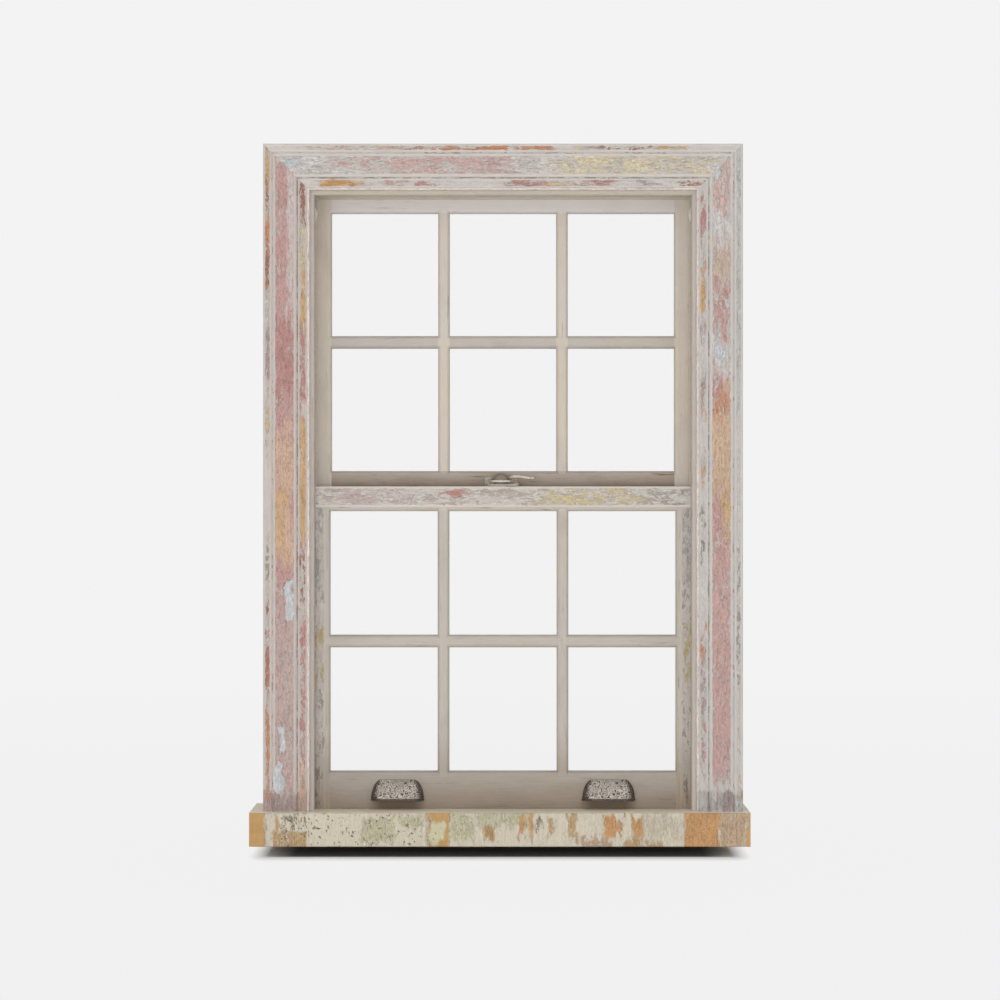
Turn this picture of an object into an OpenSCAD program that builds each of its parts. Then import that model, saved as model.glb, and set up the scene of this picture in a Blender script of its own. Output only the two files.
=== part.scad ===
// Double-hung sash window in its weighted box frame, room side towards -Y.
// Origin on the sill's underside, at the middle of the frame and the plane of the room wall.
// All sizes in millimetres.

/* [Panes] */
// Sight width of one pane
pane_w = 207; // [150:1:260]
// Sight height of one pane
pane_h = 238.5; // [180:0.5:300]
// Panes across a sash
pane_cols = 3; // [2:1:4]
// Panes up a sash
pane_rows = 2; // [1:1:3]
// Glass thickness
glass_t = 3; // [2:0.5:6]
// Gap left all round a pane in its rebate
glass_gap = 1; // [0.5:0.1:2]

/* [Sashes] */
// Thickness of both sashes
sash_t = 38; // [32:1:50]
// Width of the stiles
stile_w = 34.5; // [30:0.5:60]
// Height of the upper sash's top rail
top_rail_h = 33; // [28:0.5:60]
// Height of the lower sash's meeting rail
lower_meet_h = 47.8; // [40:0.1:60]
// Height of the upper sash's meeting rail
upper_meet_h = 58; // [50:0.5:70]
// Height of the lower sash's bottom rail
bottom_rail_h = 71.5; // [60:0.5:110]
// Width of an upright glazing bar
upright_bar_w = 22.5; // [18:0.5:30]
// Width of a cross glazing bar
cross_bar_w = 24; // [18:0.5:30]
// Flat left on the face of a glazing bar
bar_flat = 13; // [6:0.5:16]
// Width of the moulding round the frame of a sash
stick_w = 8; // [4:0.5:12]
// Depth of the moulding
stick_d = 10; // [6:0.5:14]
// Small square step at the head of the moulding
stick_quirk = 1.2; // [0.5:0.1:2]
// Depth of the glass seat behind the sash face
seat_d = 20; // [16:0.5:26]
// Width of the glazing rebate
rebate_w = 7; // [5:0.5:8.5]
// How far the putty stops short of the outer face
putty_back = 1; // [0.5:0.5:3]
// How far the two meeting rails overlap in height
meet_overlap = 28; // [18:0.5:40]
// Bevel on the top of the weather bead between the meeting rails
lip_bevel = 3; // [1:0.5:5]
// Gap between the weather bead and the lower meeting rail
lip_gap = 1; // [0.5:0.1:2]
// Thickness of the rail tenons
tenon_t = 9; // [6:0.5:9.5]
// Length of the rail tenons
tenon_l = 20; // [12:1:22]
// Shoulder left above and below a tenon
tenon_shoulder = 10; // [7:0.5:12]

/* [Clearances] */
// Running gap between a sash and each bead
run_gap = 1; // [0.6:0.1:2]
// Gap between a sash and each pulley stile
side_gap = 2; // [1:0.1:3]
// Gap between the upper sash and the head
head_gap = 1.4; // [0.5:0.1:3]
// Gap between the lower sash and the sill
sill_gap = 0.3; // [0.2:0.1:1]
// Gap round a fitted wooden piece
fit_gap = 0.2; // [0.1:0.05:0.5]
// Running gap between a turning hole and its pin
pin_gap = 0.05; // [0.02:0.01:0.08]
// Gap between a cord and what it touches
cord_gap = 0.3; // [0.2:0.05:0.6]

/* [Frame] */
// Thickness of the pulley stiles
stile_t = 18; // [16:0.5:24]
// Clear width of a weight box
box_w = 54; // [50:1:70]
// Thickness of the back linings
back_lining_t = 10; // [6:1:15]
// Thickness of the inside linings
inside_lining_t = 12; // [8:1:18]
// Thickness of the outside linings
outside_lining_t = 20; // [12:1:28]
// How far the outside linings stand into the opening
outside_lip = 8; // [6:0.5:11]
// Thickness of the head
head_t = 22; // [18:1:30]
// How far the linings run up past the head
lining_rise = 18; // [5:1:22]
// Thickness of the parting beads
parting_t = 9; // [8:0.5:14]
// How far the parting beads stand into the opening
parting_proud = 8; // [6:0.5:11]
// How deep the parting beads are let into the stiles
parting_let = 6; // [3:0.5:8]
// How far the stop beads stand into the opening
stop_proud = 8; // [6:0.5:12]
// Depth of the stop beads
stop_d = 30.5; // [20:0.5:40]
// Radius of the stop beads' nose
stop_nose = 5; // [2:0.5:6]
// Thickness of the weight dividers
divider_t = 6; // [4:0.5:8]
// Gap at the edges and foot of a weight divider
divider_gap = 5; // [3:0.5:8]
// Height of the access pockets
pocket_h = 520; // [300:5:600]
// Foot of the access pockets above the sill
pocket_foot = 110; // [60:5:200]
// Width of the access pockets
pocket_w = 35; // [20:0.5:36]
// Slant of the pocket pieces' ends
pocket_slant = 6; // [3:0.5:10]

/* [Casing] */
// Width of the casing boards
casing_w = 88; // [80:0.5:130]
// Thickness at the raised field
casing_t = 22; // [18:0.5:35]
// Width of the outer band
outer_band_w = 15; // [10:0.5:20]
// Drop from the field to the outer band
outer_drop = 4; // [1:0.5:6]
// Width of each sloping step
step_w = 5; // [2:0.5:7]
// Width of the raised field
field_w = 41.5; // [25:0.5:44]
// Crown of the raised field
field_crown = 1.2; // [0.4:0.1:2]
// Drop from the field to the inner band
inner_drop = 6; // [2:0.5:8]
// Radius of the bead on the inner edge
edge_bead = 2.3; // [1:0.1:3]
// Chamfer on the outer edge
casing_arris = 1.2; // [0.5:0.1:2]

/* [Sill] */
// Height of the sill's front face
sill_h = 64.5; // [45:0.5:90]
// How far the sill stands in front of the casing
sill_nose = 20; // [10:0.5:40]
// Left horn past the casing
horn_left = 25; // [0:0.5:50]
// Right horn past the casing
horn_right = 13; // [0:0.5:50]
// Back of the horns behind the wall plane
horn_back = 136; // [100:1:145]
// How far the sill stands out past the outside linings
sill_out = 33; // [20:1:60]
// Slope of the weathering in degrees
sill_slope = 8; // [4:0.5:12]
// Rounding of the sill's front edges
sill_round = 3; // [1:0.5:6]
// Width and depth of the drip groove
drip = 8; // [4:0.5:10]

/* [Cords, pulleys and weights] */
// Radius of a pulley wheel
wheel_r = 26; // [24:0.5:28]
// Width of a pulley wheel
wheel_w = 10; // [9:0.5:11]
// Radius at which the cord runs
cord_run_r = 22.5; // [20:0.5:23]
// Radius of the cord
cord_r = 3; // [2:0.25:3.5]
// Wheel centre behind the stile face
wheel_set = 15; // [13:0.5:16]
// Wheel centre below the head
wheel_drop = 41; // [40:0.5:60]
// Radius of the axle pins
axle_r = 3; // [2:0.25:5]
// Thickness of a pulley's face plate
plate_t = 2.5; // [1.5:0.25:4]
// Half height of a pulley's face plate
plate_half_h = 38; // [32:0.5:39]
// Thickness of a pulley's cheeks
cheek_t = 2.2; // [1.5:0.1:3]
// Gap between a wheel and each cheek
cheek_gap = 1; // [0.5:0.1:1.5]
// How far the cheeks reach past the wheel centre
cheek_reach = 13; // [8:0.5:15]
// Half height of the cheeks
cheek_half_h = 26; // [24:0.5:28]
// Length of the deep groove in a stile edge, where the wheel passes
wheel_groove_l = 80; // [70:1:120]
// Depth of the groove in a stile edge
cord_groove_d = 12; // [10.5:0.5:13]
// Knot below the top of a sash
knot_drop = 180; // [120:5:240]
// Radius of the knots
knot_r = 5; // [4.5:0.25:5.25]
// Radius of a weight
weight_r = 18; // [14:0.5:18.5]
// Length of a lower sash weight
lower_weight_l = 468; // [300:1:600]
// Length of an upper sash weight
upper_weight_l = 446; // [300:1:600]
// Length of a weight's tapered head
weight_head_l = 55; // [45:1:70]
// Radius of a weight at its eye
weight_eye_r = 11; // [9.5:0.5:13]
// Gap between a wheel and the weight hung highest
weight_hang = 16; // [10:1:40]
// Gap between the sill and the weight hung lowest
weight_foot = 16; // [8:1:40]

/* [Lifts] */
// Distance between the two lifts
lift_spread = 406; // [250:1:500]
// Straight part of a lift
lift_flat = 60; // [30:1:80]
// How far a lift stands off its rail
lift_reach = 21; // [16:0.5:28]
// Height of a lift
lift_h = 40; // [30:0.5:50]
// Wall of a lift
lift_wall = 2; // [1.5:0.1:3]
// Foot of the lifts above the foot of the sash
lift_foot = 16.5; // [8:0.5:25]
// Rolled lip along a lift's edge
lift_lip = 1.6; // [1:0.1:2.5]

/* [Lock] */
// Length of the lock's base
lock_base_l = 66; // [60:0.5:80]
// Width of the lock's base
lock_base_w = 28; // [22:0.5:30]
// Thickness of the lock's base
lock_base_t = 5; // [3:0.25:6]
// Pivot in front of the upper sash's face
lock_pivot_set = 26.5; // [26:0.5:29]
// Pivot to the left of the middle
lock_pivot_left = 4; // [0:0.5:8]
// Radius of the pivot post
lock_post_r = 4; // [3:0.25:5]
// Gap under the locking disc
lock_lift = 3; // [2.5:0.25:5]
// Thickness of the locking disc
lock_disc_t = 4; // [3:0.25:5]
// Radius of the locking disc
lock_disc_r = 25; // [22:0.25:25.5]
// Radius of the lock's domed boss
lock_boss_r = 16.5; // [12:0.5:17]
// Height of the lock's domed boss
lock_boss_h = 14; // [10:0.5:18]
// Pivot to the tip of the lever
lever_l = 65; // [50:0.5:80]
// Thickness of the lever
lever_t = 4; // [3:0.25:6]
// Thickness of the keeper plate
keeper_t = 2; // [1.5:0.25:3]
// Height of the keeper plate
keeper_h = 18; // [15:0.5:19]
// Length of the keeper plate
keeper_l = 62; // [52:0.5:70]
// How far the keeper's strike stands out from its plate
keeper_proud = 8; // [6:0.5:8.5]
// Wall of the keeper's strike round its slot
keeper_wall = 3.2; // [2:0.1:4]
// Gap round the locking disc in the keeper
keeper_gap = 1.2; // [0.8:0.1:1.6]

/* [Hidden] */
$fn = 48;
over = 20;
steps = 6;

sight_w = pane_cols * pane_w + (pane_cols - 1) * upright_bar_w;
glass_h = pane_rows * pane_h + (pane_rows - 1) * cross_bar_w;
sash_w = sight_w + 2 * stile_w;
half_open = sash_w / 2 + side_gap;
lower_h = bottom_rail_h + glass_h + lower_meet_h;
upper_h = upper_meet_h + glass_h + top_rail_h;
lower_y = stop_d + run_gap;
parting_y = lower_y + sash_t + run_gap;
upper_y = parting_y + parting_t + run_gap;
outside_y = upper_y + sash_t + run_gap;
frame_back = outside_y + outside_lining_t;
lower_z = sill_h + sill_gap;
upper_z = lower_z + lower_h - meet_overlap;
head_z = upper_z + upper_h + head_gap;
lining_top = head_z + head_t + lining_rise;
box_in = half_open + stile_t;
box_out = box_in + box_w;
frame_out = box_out + back_lining_t;
casing_out = half_open + casing_w;
casing_top = head_z + casing_w;
sash_space = upper_y - lower_y - sash_t;
lip_reach = sash_space - lip_gap;
lip_half = half_open - parting_proud - side_gap;
wheel_x = half_open + wheel_set;
wheel_z = head_z - wheel_drop;
cord_in_x = wheel_x - cord_run_r;
weight_x = wheel_x + cord_run_r;
lower_track = lower_y + sash_t / 2;
upper_track = upper_y + sash_t / 2;
cheek_in = wheel_w / 2 + cheek_gap;
cheek_out = cheek_in + cheek_t;
plate_half_w = cheek_out + 2.8;
lower_weight_z = wheel_z - wheel_r - weight_hang - lower_weight_l;
upper_weight_z = sill_h + weight_foot;
lock_x = -lock_pivot_left;
lock_y = upper_y - lock_pivot_set;
rail_top = lower_z + lower_h;
lower_knot_z = rail_top - knot_drop;
upper_knot_z = upper_z + upper_h - knot_drop;
lower_hang_z = lower_weight_z + lower_weight_l;
upper_hang_z = upper_weight_z + upper_weight_l;
disc_z = rail_top + lock_base_t + lock_lift;
strike_y = upper_y - keeper_proud;
keeper_slot = 2 * sqrt(pow(lock_disc_r, 2) - pow(strike_y - lock_y, 2)) + 4 * keeper_gap;

// A box given by its two opposite corners.
module span(a, b) {
    translate(a) cube(b - a);
}

// A section drawn as [depth, height], run along X between two ends.
module along_x(x0, x1) {
    translate([x0, 0, 0]) rotate([90, 0, 90]) linear_extrude(x1 - x0) children();
}

// A front outline drawn as [across, height], run through the depth between two planes.
module through_y(y0, y1) {
    translate([0, y1, 0]) rotate([90, 0, 0]) linear_extrude(y1 - y0) children();
}

// Everything is drawn on the right, and mirrored for the left.
module on_side(side) {
    if (side < 0) mirror([1, 0, 0]) children();
    else children();
}

// Sill: one heavy board whose front face shows, flat inside and weathered outside.
module sill() {
    color([0.86, 0.83, 0.74]) difference() {
        union() {
            along_x(-casing_out - horn_left, casing_out + horn_right) sill_section(horn_back);
            along_x(-frame_out, frame_out) sill_section(frame_back + sill_out);
        }
        difference() {
            weathering();
            for (side = [-1, 1]) on_side(side)
                span([half_open, 0, 0], [casing_out + over, frame_back, sill_h + 2 * over]);
        }
        span([-frame_out - over, frame_back + sill_out - 2 * drip, -1],
            [frame_out + over, frame_back + sill_out - drip, drip]);
    }
}

module sill_section(back) {
    front = -casing_t - sill_nose;
    r = sill_round;
    polygon(concat(
        [for (k = [0:4]) [front + r - r * sin(90 * k / 4), r - r * cos(90 * k / 4)]],
        [for (k = [0:4]) [front + r - r * cos(90 * k / 4), sill_h - r + r * sin(90 * k / 4)]],
        [[back, sill_h], [back, 0]]));
}

// The air above the weathered slope, which falls away from where the upper sash stands.
// Out past the opening the sill stays level as far back as the outside linings.
module weathering() {
    back = frame_back + sill_out + over;
    fall = tan(sill_slope);
    along_x(-frame_out - over, frame_out + over) polygon([[upper_y, sill_h],
        [upper_y, sill_h + over], [back, sill_h + over], [back, sill_h - (back - upper_y) * fall]]);
}

// Head: closes the top of the frame, grooved for its parting bead.
module head() {
    color([0.66, 0.62, 0.56]) difference() {
        span([-frame_out, inside_lining_t, head_z], [frame_out, outside_y, head_z + head_t]);
        span([-half_open, parting_y, head_z - 1], [half_open, parting_y + parting_t, head_z + parting_let]);
    }
}

// Pulley stile: the upright that a sash edge runs against, cut for the pulleys and the pocket.
module pulley_stile(side) {
    color([0.66, 0.62, 0.56]) on_side(side) difference() {
        span([half_open, inside_lining_t, sill_h], [box_in, outside_y, head_z]);
        span([half_open - 1, parting_y, sill_h - 1],
            [half_open + parting_let, parting_y + parting_t, head_z + 1]);
        pulley_cut(lower_track);
        pulley_cut(upper_track);
        pocket_prism(fit_gap);
    }
}

module pulley_cut(track) {
    translate([wheel_x, track, wheel_z]) {
        span([-wheel_set - 1, -plate_half_w - fit_gap, -plate_half_h - fit_gap],
            [-wheel_set + plate_t, plate_half_w + fit_gap, plate_half_h + fit_gap]);
        span([-wheel_set - 1, -cheek_out - fit_gap, -cheek_half_h - 2],
            [stile_t + 1, cheek_out + fit_gap, cheek_half_h + 2]);
    }
}

// Pocket piece: lifts out of the stile so that the weights can be reached.
module pocket_pieces() {
    color([0.66, 0.62, 0.56]) for (side = [-1, 1]) on_side(side) pocket_prism(0);
}

module pocket_prism(gap) {
    foot = sill_h + pocket_foot;
    through_y(lower_track - pocket_w / 2 - gap, lower_track + pocket_w / 2 + gap)
        polygon([[half_open, foot - gap], [half_open, foot + pocket_h + gap],
            [box_in, foot + pocket_h - pocket_slant + gap], [box_in, foot + pocket_slant - gap]]);
}

// Linings: the boards that close the weight boxes in front, behind and at the wall side.
module inside_lining(side) {
    color([0.66, 0.62, 0.56]) on_side(side)
        span([half_open, 0, sill_h], [frame_out, inside_lining_t, head_z]);
}

module inside_lining_head() {
    color([0.66, 0.62, 0.56]) span([-frame_out, 0, head_z], [frame_out, inside_lining_t, lining_top]);
}

module outside_lining(side) {
    color([0.66, 0.62, 0.56]) on_side(side) difference() {
        span([half_open - outside_lip, outside_y, 0], [frame_out, frame_back, head_z - outside_lip]);
        span([half_open, outside_y - 1, -1], [frame_out + 1, frame_back + 1, sill_h]);
        along_x(half_open - over, half_open + 1) polygon([[outside_y - 1, -1],
            [outside_y - 1, sill_h - (outside_y - 1 - upper_y) * tan(sill_slope)],
            [frame_back + 1, sill_h - (frame_back + 1 - upper_y) * tan(sill_slope)], [frame_back + 1, -1]]);
    }
}

module outside_lining_head() {
    color([0.66, 0.62, 0.56])
        span([-frame_out, outside_y, head_z - outside_lip], [frame_out, frame_back, lining_top]);
}

module back_lining(side) {
    color([0.66, 0.62, 0.56]) on_side(side)
        span([box_out, inside_lining_t, sill_h], [frame_out, outside_y, head_z]);
}

// Casing: three mitred boards with an outer band, a raised crowned field and a beaded inner edge.
module casing_section() {
    low_out = casing_t - outer_drop;
    low_in = casing_t - inner_drop;
    field = outer_band_w + step_w;
    inner = field + field_w + step_w;
    polygon(concat([[0, 0], [0, -low_out + casing_arris], [casing_arris, -low_out], [outer_band_w, -low_out]],
        [for (k = [0:steps]) [field + field_w * k / steps,
            -casing_t + field_crown * pow(2 * k / steps - 1, 2)]],
        [[inner, -low_in]],
        [for (k = [0:steps]) [casing_w - edge_bead - edge_bead * cos(180 * k / steps),
            -low_in - edge_bead * sin(180 * k / steps)]],
        [[casing_w, 0]]));
}

module casing(side) {
    color([0.80, 0.68, 0.62]) on_side(side) intersection() {
        translate([casing_out, 0, sill_h]) mirror([1, 0, 0])
            linear_extrude(casing_top - sill_h) casing_section();
        through_y(-over - casing_t, over) polygon([[half_open, sill_h - 1], [casing_out, sill_h - 1],
            [casing_out, casing_top], [half_open, head_z]]);
    }
}

module casing_head() {
    color([0.82, 0.79, 0.74]) intersection() {
        translate([-casing_out, 0, casing_top]) rotate([0, 90, 0])
            linear_extrude(2 * casing_out) casing_section();
        through_y(-over - casing_t, over) polygon([[-casing_out, casing_top], [casing_out, casing_top],
            [half_open, head_z], [-half_open, head_z]]);
    }
}

// Stop beads: nailed round the opening on the room side, with a rounded nose.
module stop_section() {
    polygon(concat([[0, 0], [0, stop_d], [stop_proud, stop_d]],
        [for (k = [0:steps]) [stop_proud - stop_nose + stop_nose * cos(90 * k / steps),
            stop_nose - stop_nose * sin(90 * k / steps)]]));
}

module stop_bead(side) {
    color([0.72, 0.68, 0.62]) on_side(side) intersection() {
        translate([half_open, 0, sill_h]) mirror([1, 0, 0]) linear_extrude(head_z - sill_h) stop_section();
        through_y(-over, over + stop_d)
            polygon([[half_open - stop_proud, sill_h - 1], [half_open + 1, sill_h - 1],
                [half_open + 1, head_z + 1], [half_open - stop_proud, head_z - stop_proud]]);
    }
}

module stop_bead_head() {
    color([0.72, 0.68, 0.62]) intersection() {
        translate([-half_open, 0, head_z]) rotate([0, 90, 0]) linear_extrude(2 * half_open) stop_section();
        through_y(-over, over + stop_d) polygon([[-half_open - 1, head_z + 1], [half_open + 1, head_z + 1],
            [half_open - stop_proud, head_z - stop_proud], [-half_open + stop_proud, head_z - stop_proud]]);
    }
}

// Parting beads: let into the stiles and the head between the two sash tracks.
module parting_bead(side) {
    color([0.60, 0.56, 0.50]) on_side(side) span([half_open - parting_proud, parting_y, sill_h],
        [half_open + parting_let, parting_y + parting_t, head_z]);
}

module parting_bead_head() {
    color([0.60, 0.56, 0.50]) span([-half_open + parting_proud, parting_y, head_z - parting_proud],
        [half_open - parting_proud, parting_y + parting_t, head_z + parting_let]);
}

// Weight dividers: thin boards hung from the head that keep two weights apart in their box.
module weight_dividers() {
    mid = parting_y + parting_t / 2;
    color([0.62, 0.52, 0.40]) for (side = [-1, 1]) on_side(side)
        span([box_in + divider_gap, mid - divider_t / 2, sill_h + divider_gap * 4],
            [box_out - divider_gap, mid + divider_t / 2, head_z]);
}

// Pulleys: a face plate let into the stile with two cheeks behind it, an axle pin and a grooved wheel.
module at_pulley(side, track) {
    on_side(side) translate([wheel_x, track, wheel_z]) children();
}

module pulley_cases() {
    color([0.55, 0.52, 0.46]) for (side = [-1, 1], track = [lower_track, upper_track])
        at_pulley(side, track) pulley_case();
}

module pulley_case() {
    window = sqrt(wheel_r * wheel_r - pow(wheel_set - plate_t, 2)) + cheek_gap;
    difference() {
        union() {
            difference() {
                span([-wheel_set, -plate_half_w, -plate_half_h],
                    [-wheel_set + plate_t, plate_half_w, plate_half_h]);
                span([-wheel_set - 1, -cheek_in, -window], [-wheel_set + plate_t + 1, cheek_in, window]);
            }
            for (s = [-1, 1]) translate([0, s * (cheek_in + cheek_t / 2), 0])
                span([-wheel_set + plate_t, -cheek_t / 2, -cheek_half_h],
                    [cheek_reach, cheek_t / 2, cheek_half_h]);
        }
        rotate([90, 0, 0]) cylinder(r = axle_r + pin_gap / 2, h = 2 * cheek_out + 2, center = true);
    }
}

module pulley_axles() {
    color([0.45, 0.43, 0.40]) for (side = [-1, 1], track = [lower_track, upper_track])
        at_pulley(side, track) rotate([90, 0, 0]) cylinder(r = axle_r, h = 2 * cheek_out, center = true);
}

module pulley_wheel(side, track) {
    groove = cord_r + cord_gap;
    flange = wheel_w / 2;
    color([0.80, 0.77, 0.70]) at_pulley(side, track) rotate([90, 0, 0]) rotate_extrude() polygon(concat(
        [[axle_r + pin_gap, -flange], [wheel_r - 1, -flange], [wheel_r, -flange + 0.8]],
        [for (k = [0:2 * steps]) [cord_run_r - groove * sin(180 * k / (2 * steps)),
            -groove * cos(180 * k / (2 * steps))]],
        [[wheel_r, flange - 0.8], [wheel_r - 1, flange], [axle_r + pin_gap, flange]]));
}

// Sash cord: knotted in the stile edge, over its wheel and down to its weight.
module cord(side, track, knot_z, weight_top) {
    hang = weight_top - weight_head_l / 2;
    color([0.72, 0.66, 0.54]) on_side(side) translate([0, track, 0]) {
        translate([cord_in_x, 0, knot_z]) cylinder(r = cord_r, h = wheel_z - knot_z);
        translate([wheel_x, 0, wheel_z]) rotate([90, 0, 0]) rotate_extrude(angle = 180)
            translate([cord_run_r, 0]) circle(r = cord_r);
        translate([weight_x, 0, hang]) cylinder(r = cord_r, h = wheel_z - hang);
        translate([cord_in_x, 0, knot_z]) sphere(r = knot_r);
        translate([weight_x, 0, hang]) sphere(r = knot_r);
    }
}

// Sash weight: a cast bar with a tapered head, bored for the cord and open at one side for its knot.
module weight(side, track, foot, len) {
    neck = weight_head_l / 2;
    color([0.22, 0.21, 0.20]) on_side(side) translate([weight_x, track, foot]) difference() {
        rotate_extrude() polygon([[0, 0], [weight_r - 3, 0], [weight_r, 3], [weight_r, len - weight_head_l],
            [weight_eye_r, len - 2], [weight_eye_r - 2, len], [0, len]]);
        translate([0, 0, len - neck]) cylinder(r = cord_r + cord_gap, h = neck + 1);
        span([-knot_r - cord_gap, -weight_r - 1, len - neck - knot_r - cord_gap],
            [knot_r + cord_gap, knot_r + cord_gap, len - neck + knot_r + cord_gap]);
    }
}

// Sash joinery, drawn with the sash's own foot at z = 0 and its room face at y = 0.
function pane_x(i) = -sight_w / 2 + i * (pane_w + upright_bar_w);
function pane_z(foot, j) = foot + j * (pane_h + cross_bar_w);

// How far the wood stands back from a sight line, as [set back, depth], from the room face outwards.
function edge_line(w) = concat([[w, -1], [w, stick_quirk]],
    [for (k = [1:steps]) [w * (1 - sin(90 * k / steps)),
        stick_d - (stick_d - stick_quirk) * cos(90 * k / steps)]],
    [[0, seat_d], [rebate_w, seat_d], [rebate_w, sash_t + 1]]);

function bar_stick(w) = (w - bar_flat) / 2;
function reverse(v) = [for (k = [len(v) - 1:-1:0]) v[k]];

// The opening of one pane: moulded towards the room, rebated behind, mitred where its sides meet.
module pane_cut(i, j, foot) {
    left = i == 0 ? stick_w : bar_stick(upright_bar_w);
    right = i == pane_cols - 1 ? stick_w : bar_stick(upright_bar_w);
    low = j == 0 ? stick_w : bar_stick(cross_bar_w);
    high = j == pane_rows - 1 ? stick_w : bar_stick(cross_bar_w);
    translate([pane_x(i), 0, pane_z(foot, j)]) intersection() {
        translate([0, 0, -over]) linear_extrude(pane_h + 2 * over) polygon(concat(
            [for (p = edge_line(left)) [-p[0], p[1]]],
            reverse([for (p = edge_line(right)) [pane_w + p[0], p[1]]])));
        along_x(-over, pane_w + over) polygon(concat(
            [for (p = edge_line(low)) [p[1], -p[0]]],
            reverse([for (p = edge_line(high)) [p[1], pane_h + p[0]]])));
    }
}

module pane_cuts(cols, rows, foot) {
    for (i = cols, j = rows) pane_cut(i, j, foot);
}

all_cols = [0:pane_cols - 1];
all_rows = [0:pane_rows - 1];

// A rail's tenon, or the mortise for it, on the right end.
module tenon(z0, z1, gap) {
    span([sight_w / 2 - 1, stick_d + gap / 2 - gap, z0 + tenon_shoulder - gap],
        [sight_w / 2 + tenon_l + gap, stick_d + gap / 2 + tenon_t + gap, z1 - tenon_shoulder + gap]);
}

// Stile: grooved in its edge for the wheel, the cord and the knot, and mortised for the rails.
module stile(foot, top, height) {
    color([0.70, 0.67, 0.62]) difference() {
        span([sight_w / 2, 0, 0], [sash_w / 2, sash_t, height]);
        pane_cuts([pane_cols - 1], all_rows, foot);
        tenon(0, foot, fit_gap);
        tenon(height - top, height, fit_gap);
        span([sash_w / 2 - cord_groove_d, sash_t / 2 - wheel_w / 2 - 1.5, height - wheel_groove_l],
            [sash_w / 2 + 1, sash_t / 2 + wheel_w / 2 + 1.5, height + 1]);
        span([cord_in_x - cord_r - cord_gap, sash_t / 2 - cord_r - cord_gap, height - knot_drop],
            [sash_w / 2 + 1, sash_t / 2 + cord_r + cord_gap, height]);
        translate([cord_in_x - knot_r - cord_gap, sash_t / 2, height - knot_drop]) rotate([0, 90, 0])
            cylinder(r = knot_r + cord_gap, h = sash_w / 2 - cord_in_x + knot_r + cord_gap + 1);
    }
}

module rail(z0, z1, row, foot) {
    color([0.70, 0.67, 0.62]) {
        difference() {
            span([-sight_w / 2, 0, z0], [sight_w / 2, sash_t, z1]);
            pane_cuts(all_cols, [row], foot);
        }
        for (side = [-1, 1]) on_side(side) difference() {
            tenon(z0, z1, 0);
            span([0, -1, z0 - 1], [sight_w / 2, sash_t + 1, z1 + 1]);
        }
    }
}

// Glazing bars: the uprights run through from rail to rail and the cross bars are cut between them.
module upright_bars(foot) {
    color([0.70, 0.67, 0.62]) for (i = [1:pane_cols - 1]) difference() {
        span([pane_x(i) - upright_bar_w, 0, foot], [pane_x(i), sash_t, foot + glass_h]);
        pane_cuts([i - 1, i], all_rows, foot);
    }
}

module cross_bars(foot) {
    color([0.70, 0.67, 0.62]) if (pane_rows > 1) for (i = all_cols, j = [1:pane_rows - 1]) difference() {
        span([pane_x(i), 0, pane_z(foot, j) - cross_bar_w], [pane_x(i) + pane_w, sash_t, pane_z(foot, j)]);
        pane_cuts([i], [j - 1, j], foot);
    }
}

module glass(foot) {
    edge = rebate_w - glass_gap;
    color([0.85, 0.92, 0.90, 0.4]) for (i = all_cols, j = all_rows)
        translate([pane_x(i), seat_d, pane_z(foot, j)])
            span([-edge, 0, -edge], [pane_w + edge, glass_t, pane_h + edge]);
}

// Putty: a wedge all round each pane, from the glass out to the back edge of its rebate.
module putty(foot) {
    back = sash_t - putty_back;
    front = seat_d + glass_t;
    color([0.78, 0.76, 0.70]) for (i = all_cols, j = all_rows)
    translate([pane_x(i), 0, pane_z(foot, j)]) difference() {
        span([-rebate_w, front, -rebate_w], [pane_w + rebate_w, back, pane_h + rebate_w]);
        intersection() {
            translate([0, 0, -over]) linear_extrude(pane_h + 2 * over) polygon([[0, front - 1], [0, front],
                [-rebate_w + 0.5, back], [-rebate_w + 0.5, back + 1], [pane_w + rebate_w - 0.5, back + 1],
                [pane_w + rebate_w - 0.5, back], [pane_w, front], [pane_w, front - 1]]);
            along_x(-over, pane_w + over) polygon([[front - 1, 0], [front, 0], [back, -rebate_w + 0.5],
                [back + 1, -rebate_w + 0.5], [back + 1, pane_h + rebate_w - 0.5],
                [back, pane_h + rebate_w - 0.5], [front, pane_h], [front - 1, pane_h]]);
        }
    }
}

// Lower sash, in front: its meeting rail carries the lock.
module in_lower() {
    translate([0, lower_y, lower_z]) children();
}

module lower_stile(side) {
    in_lower() on_side(side) stile(bottom_rail_h, lower_meet_h, lower_h);
}

module lower_meeting_rail() {
    in_lower() rail(lower_h - lower_meet_h, lower_h, pane_rows - 1, bottom_rail_h);
}

module lower_bottom_rail() {
    in_lower() rail(0, bottom_rail_h, 0, bottom_rail_h);
}

module lower_upright_bars() {
    in_lower() upright_bars(bottom_rail_h);
}

module lower_cross_bars() {
    in_lower() cross_bars(bottom_rail_h);
}

module lower_glass() {
    in_lower() glass(bottom_rail_h);
}

module lower_putty() {
    in_lower() putty(bottom_rail_h);
}

// Cup lift: a hollow shell with quarter-round ends and a rolled lip, open below for the fingers.
module lift(side) {
    color([0.50, 0.48, 0.44]) translate([side * lift_spread / 2, lower_y, lower_z + lift_foot]) {
        along_x(-lift_flat / 2, lift_flat / 2) polygon([for (p = lift_line()) [-p[0], p[1]]]);
        translate([lift_flat / 2, 0, 0]) rotate([0, 0, -90])
            rotate_extrude(angle = 90) polygon(lift_line());
        translate([-lift_flat / 2, 0, 0]) rotate([0, 0, 180])
            rotate_extrude(angle = 90) polygon(lift_line());
        through_y(-lift_wall, 0) polygon(lift_back());
    }
}

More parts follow.
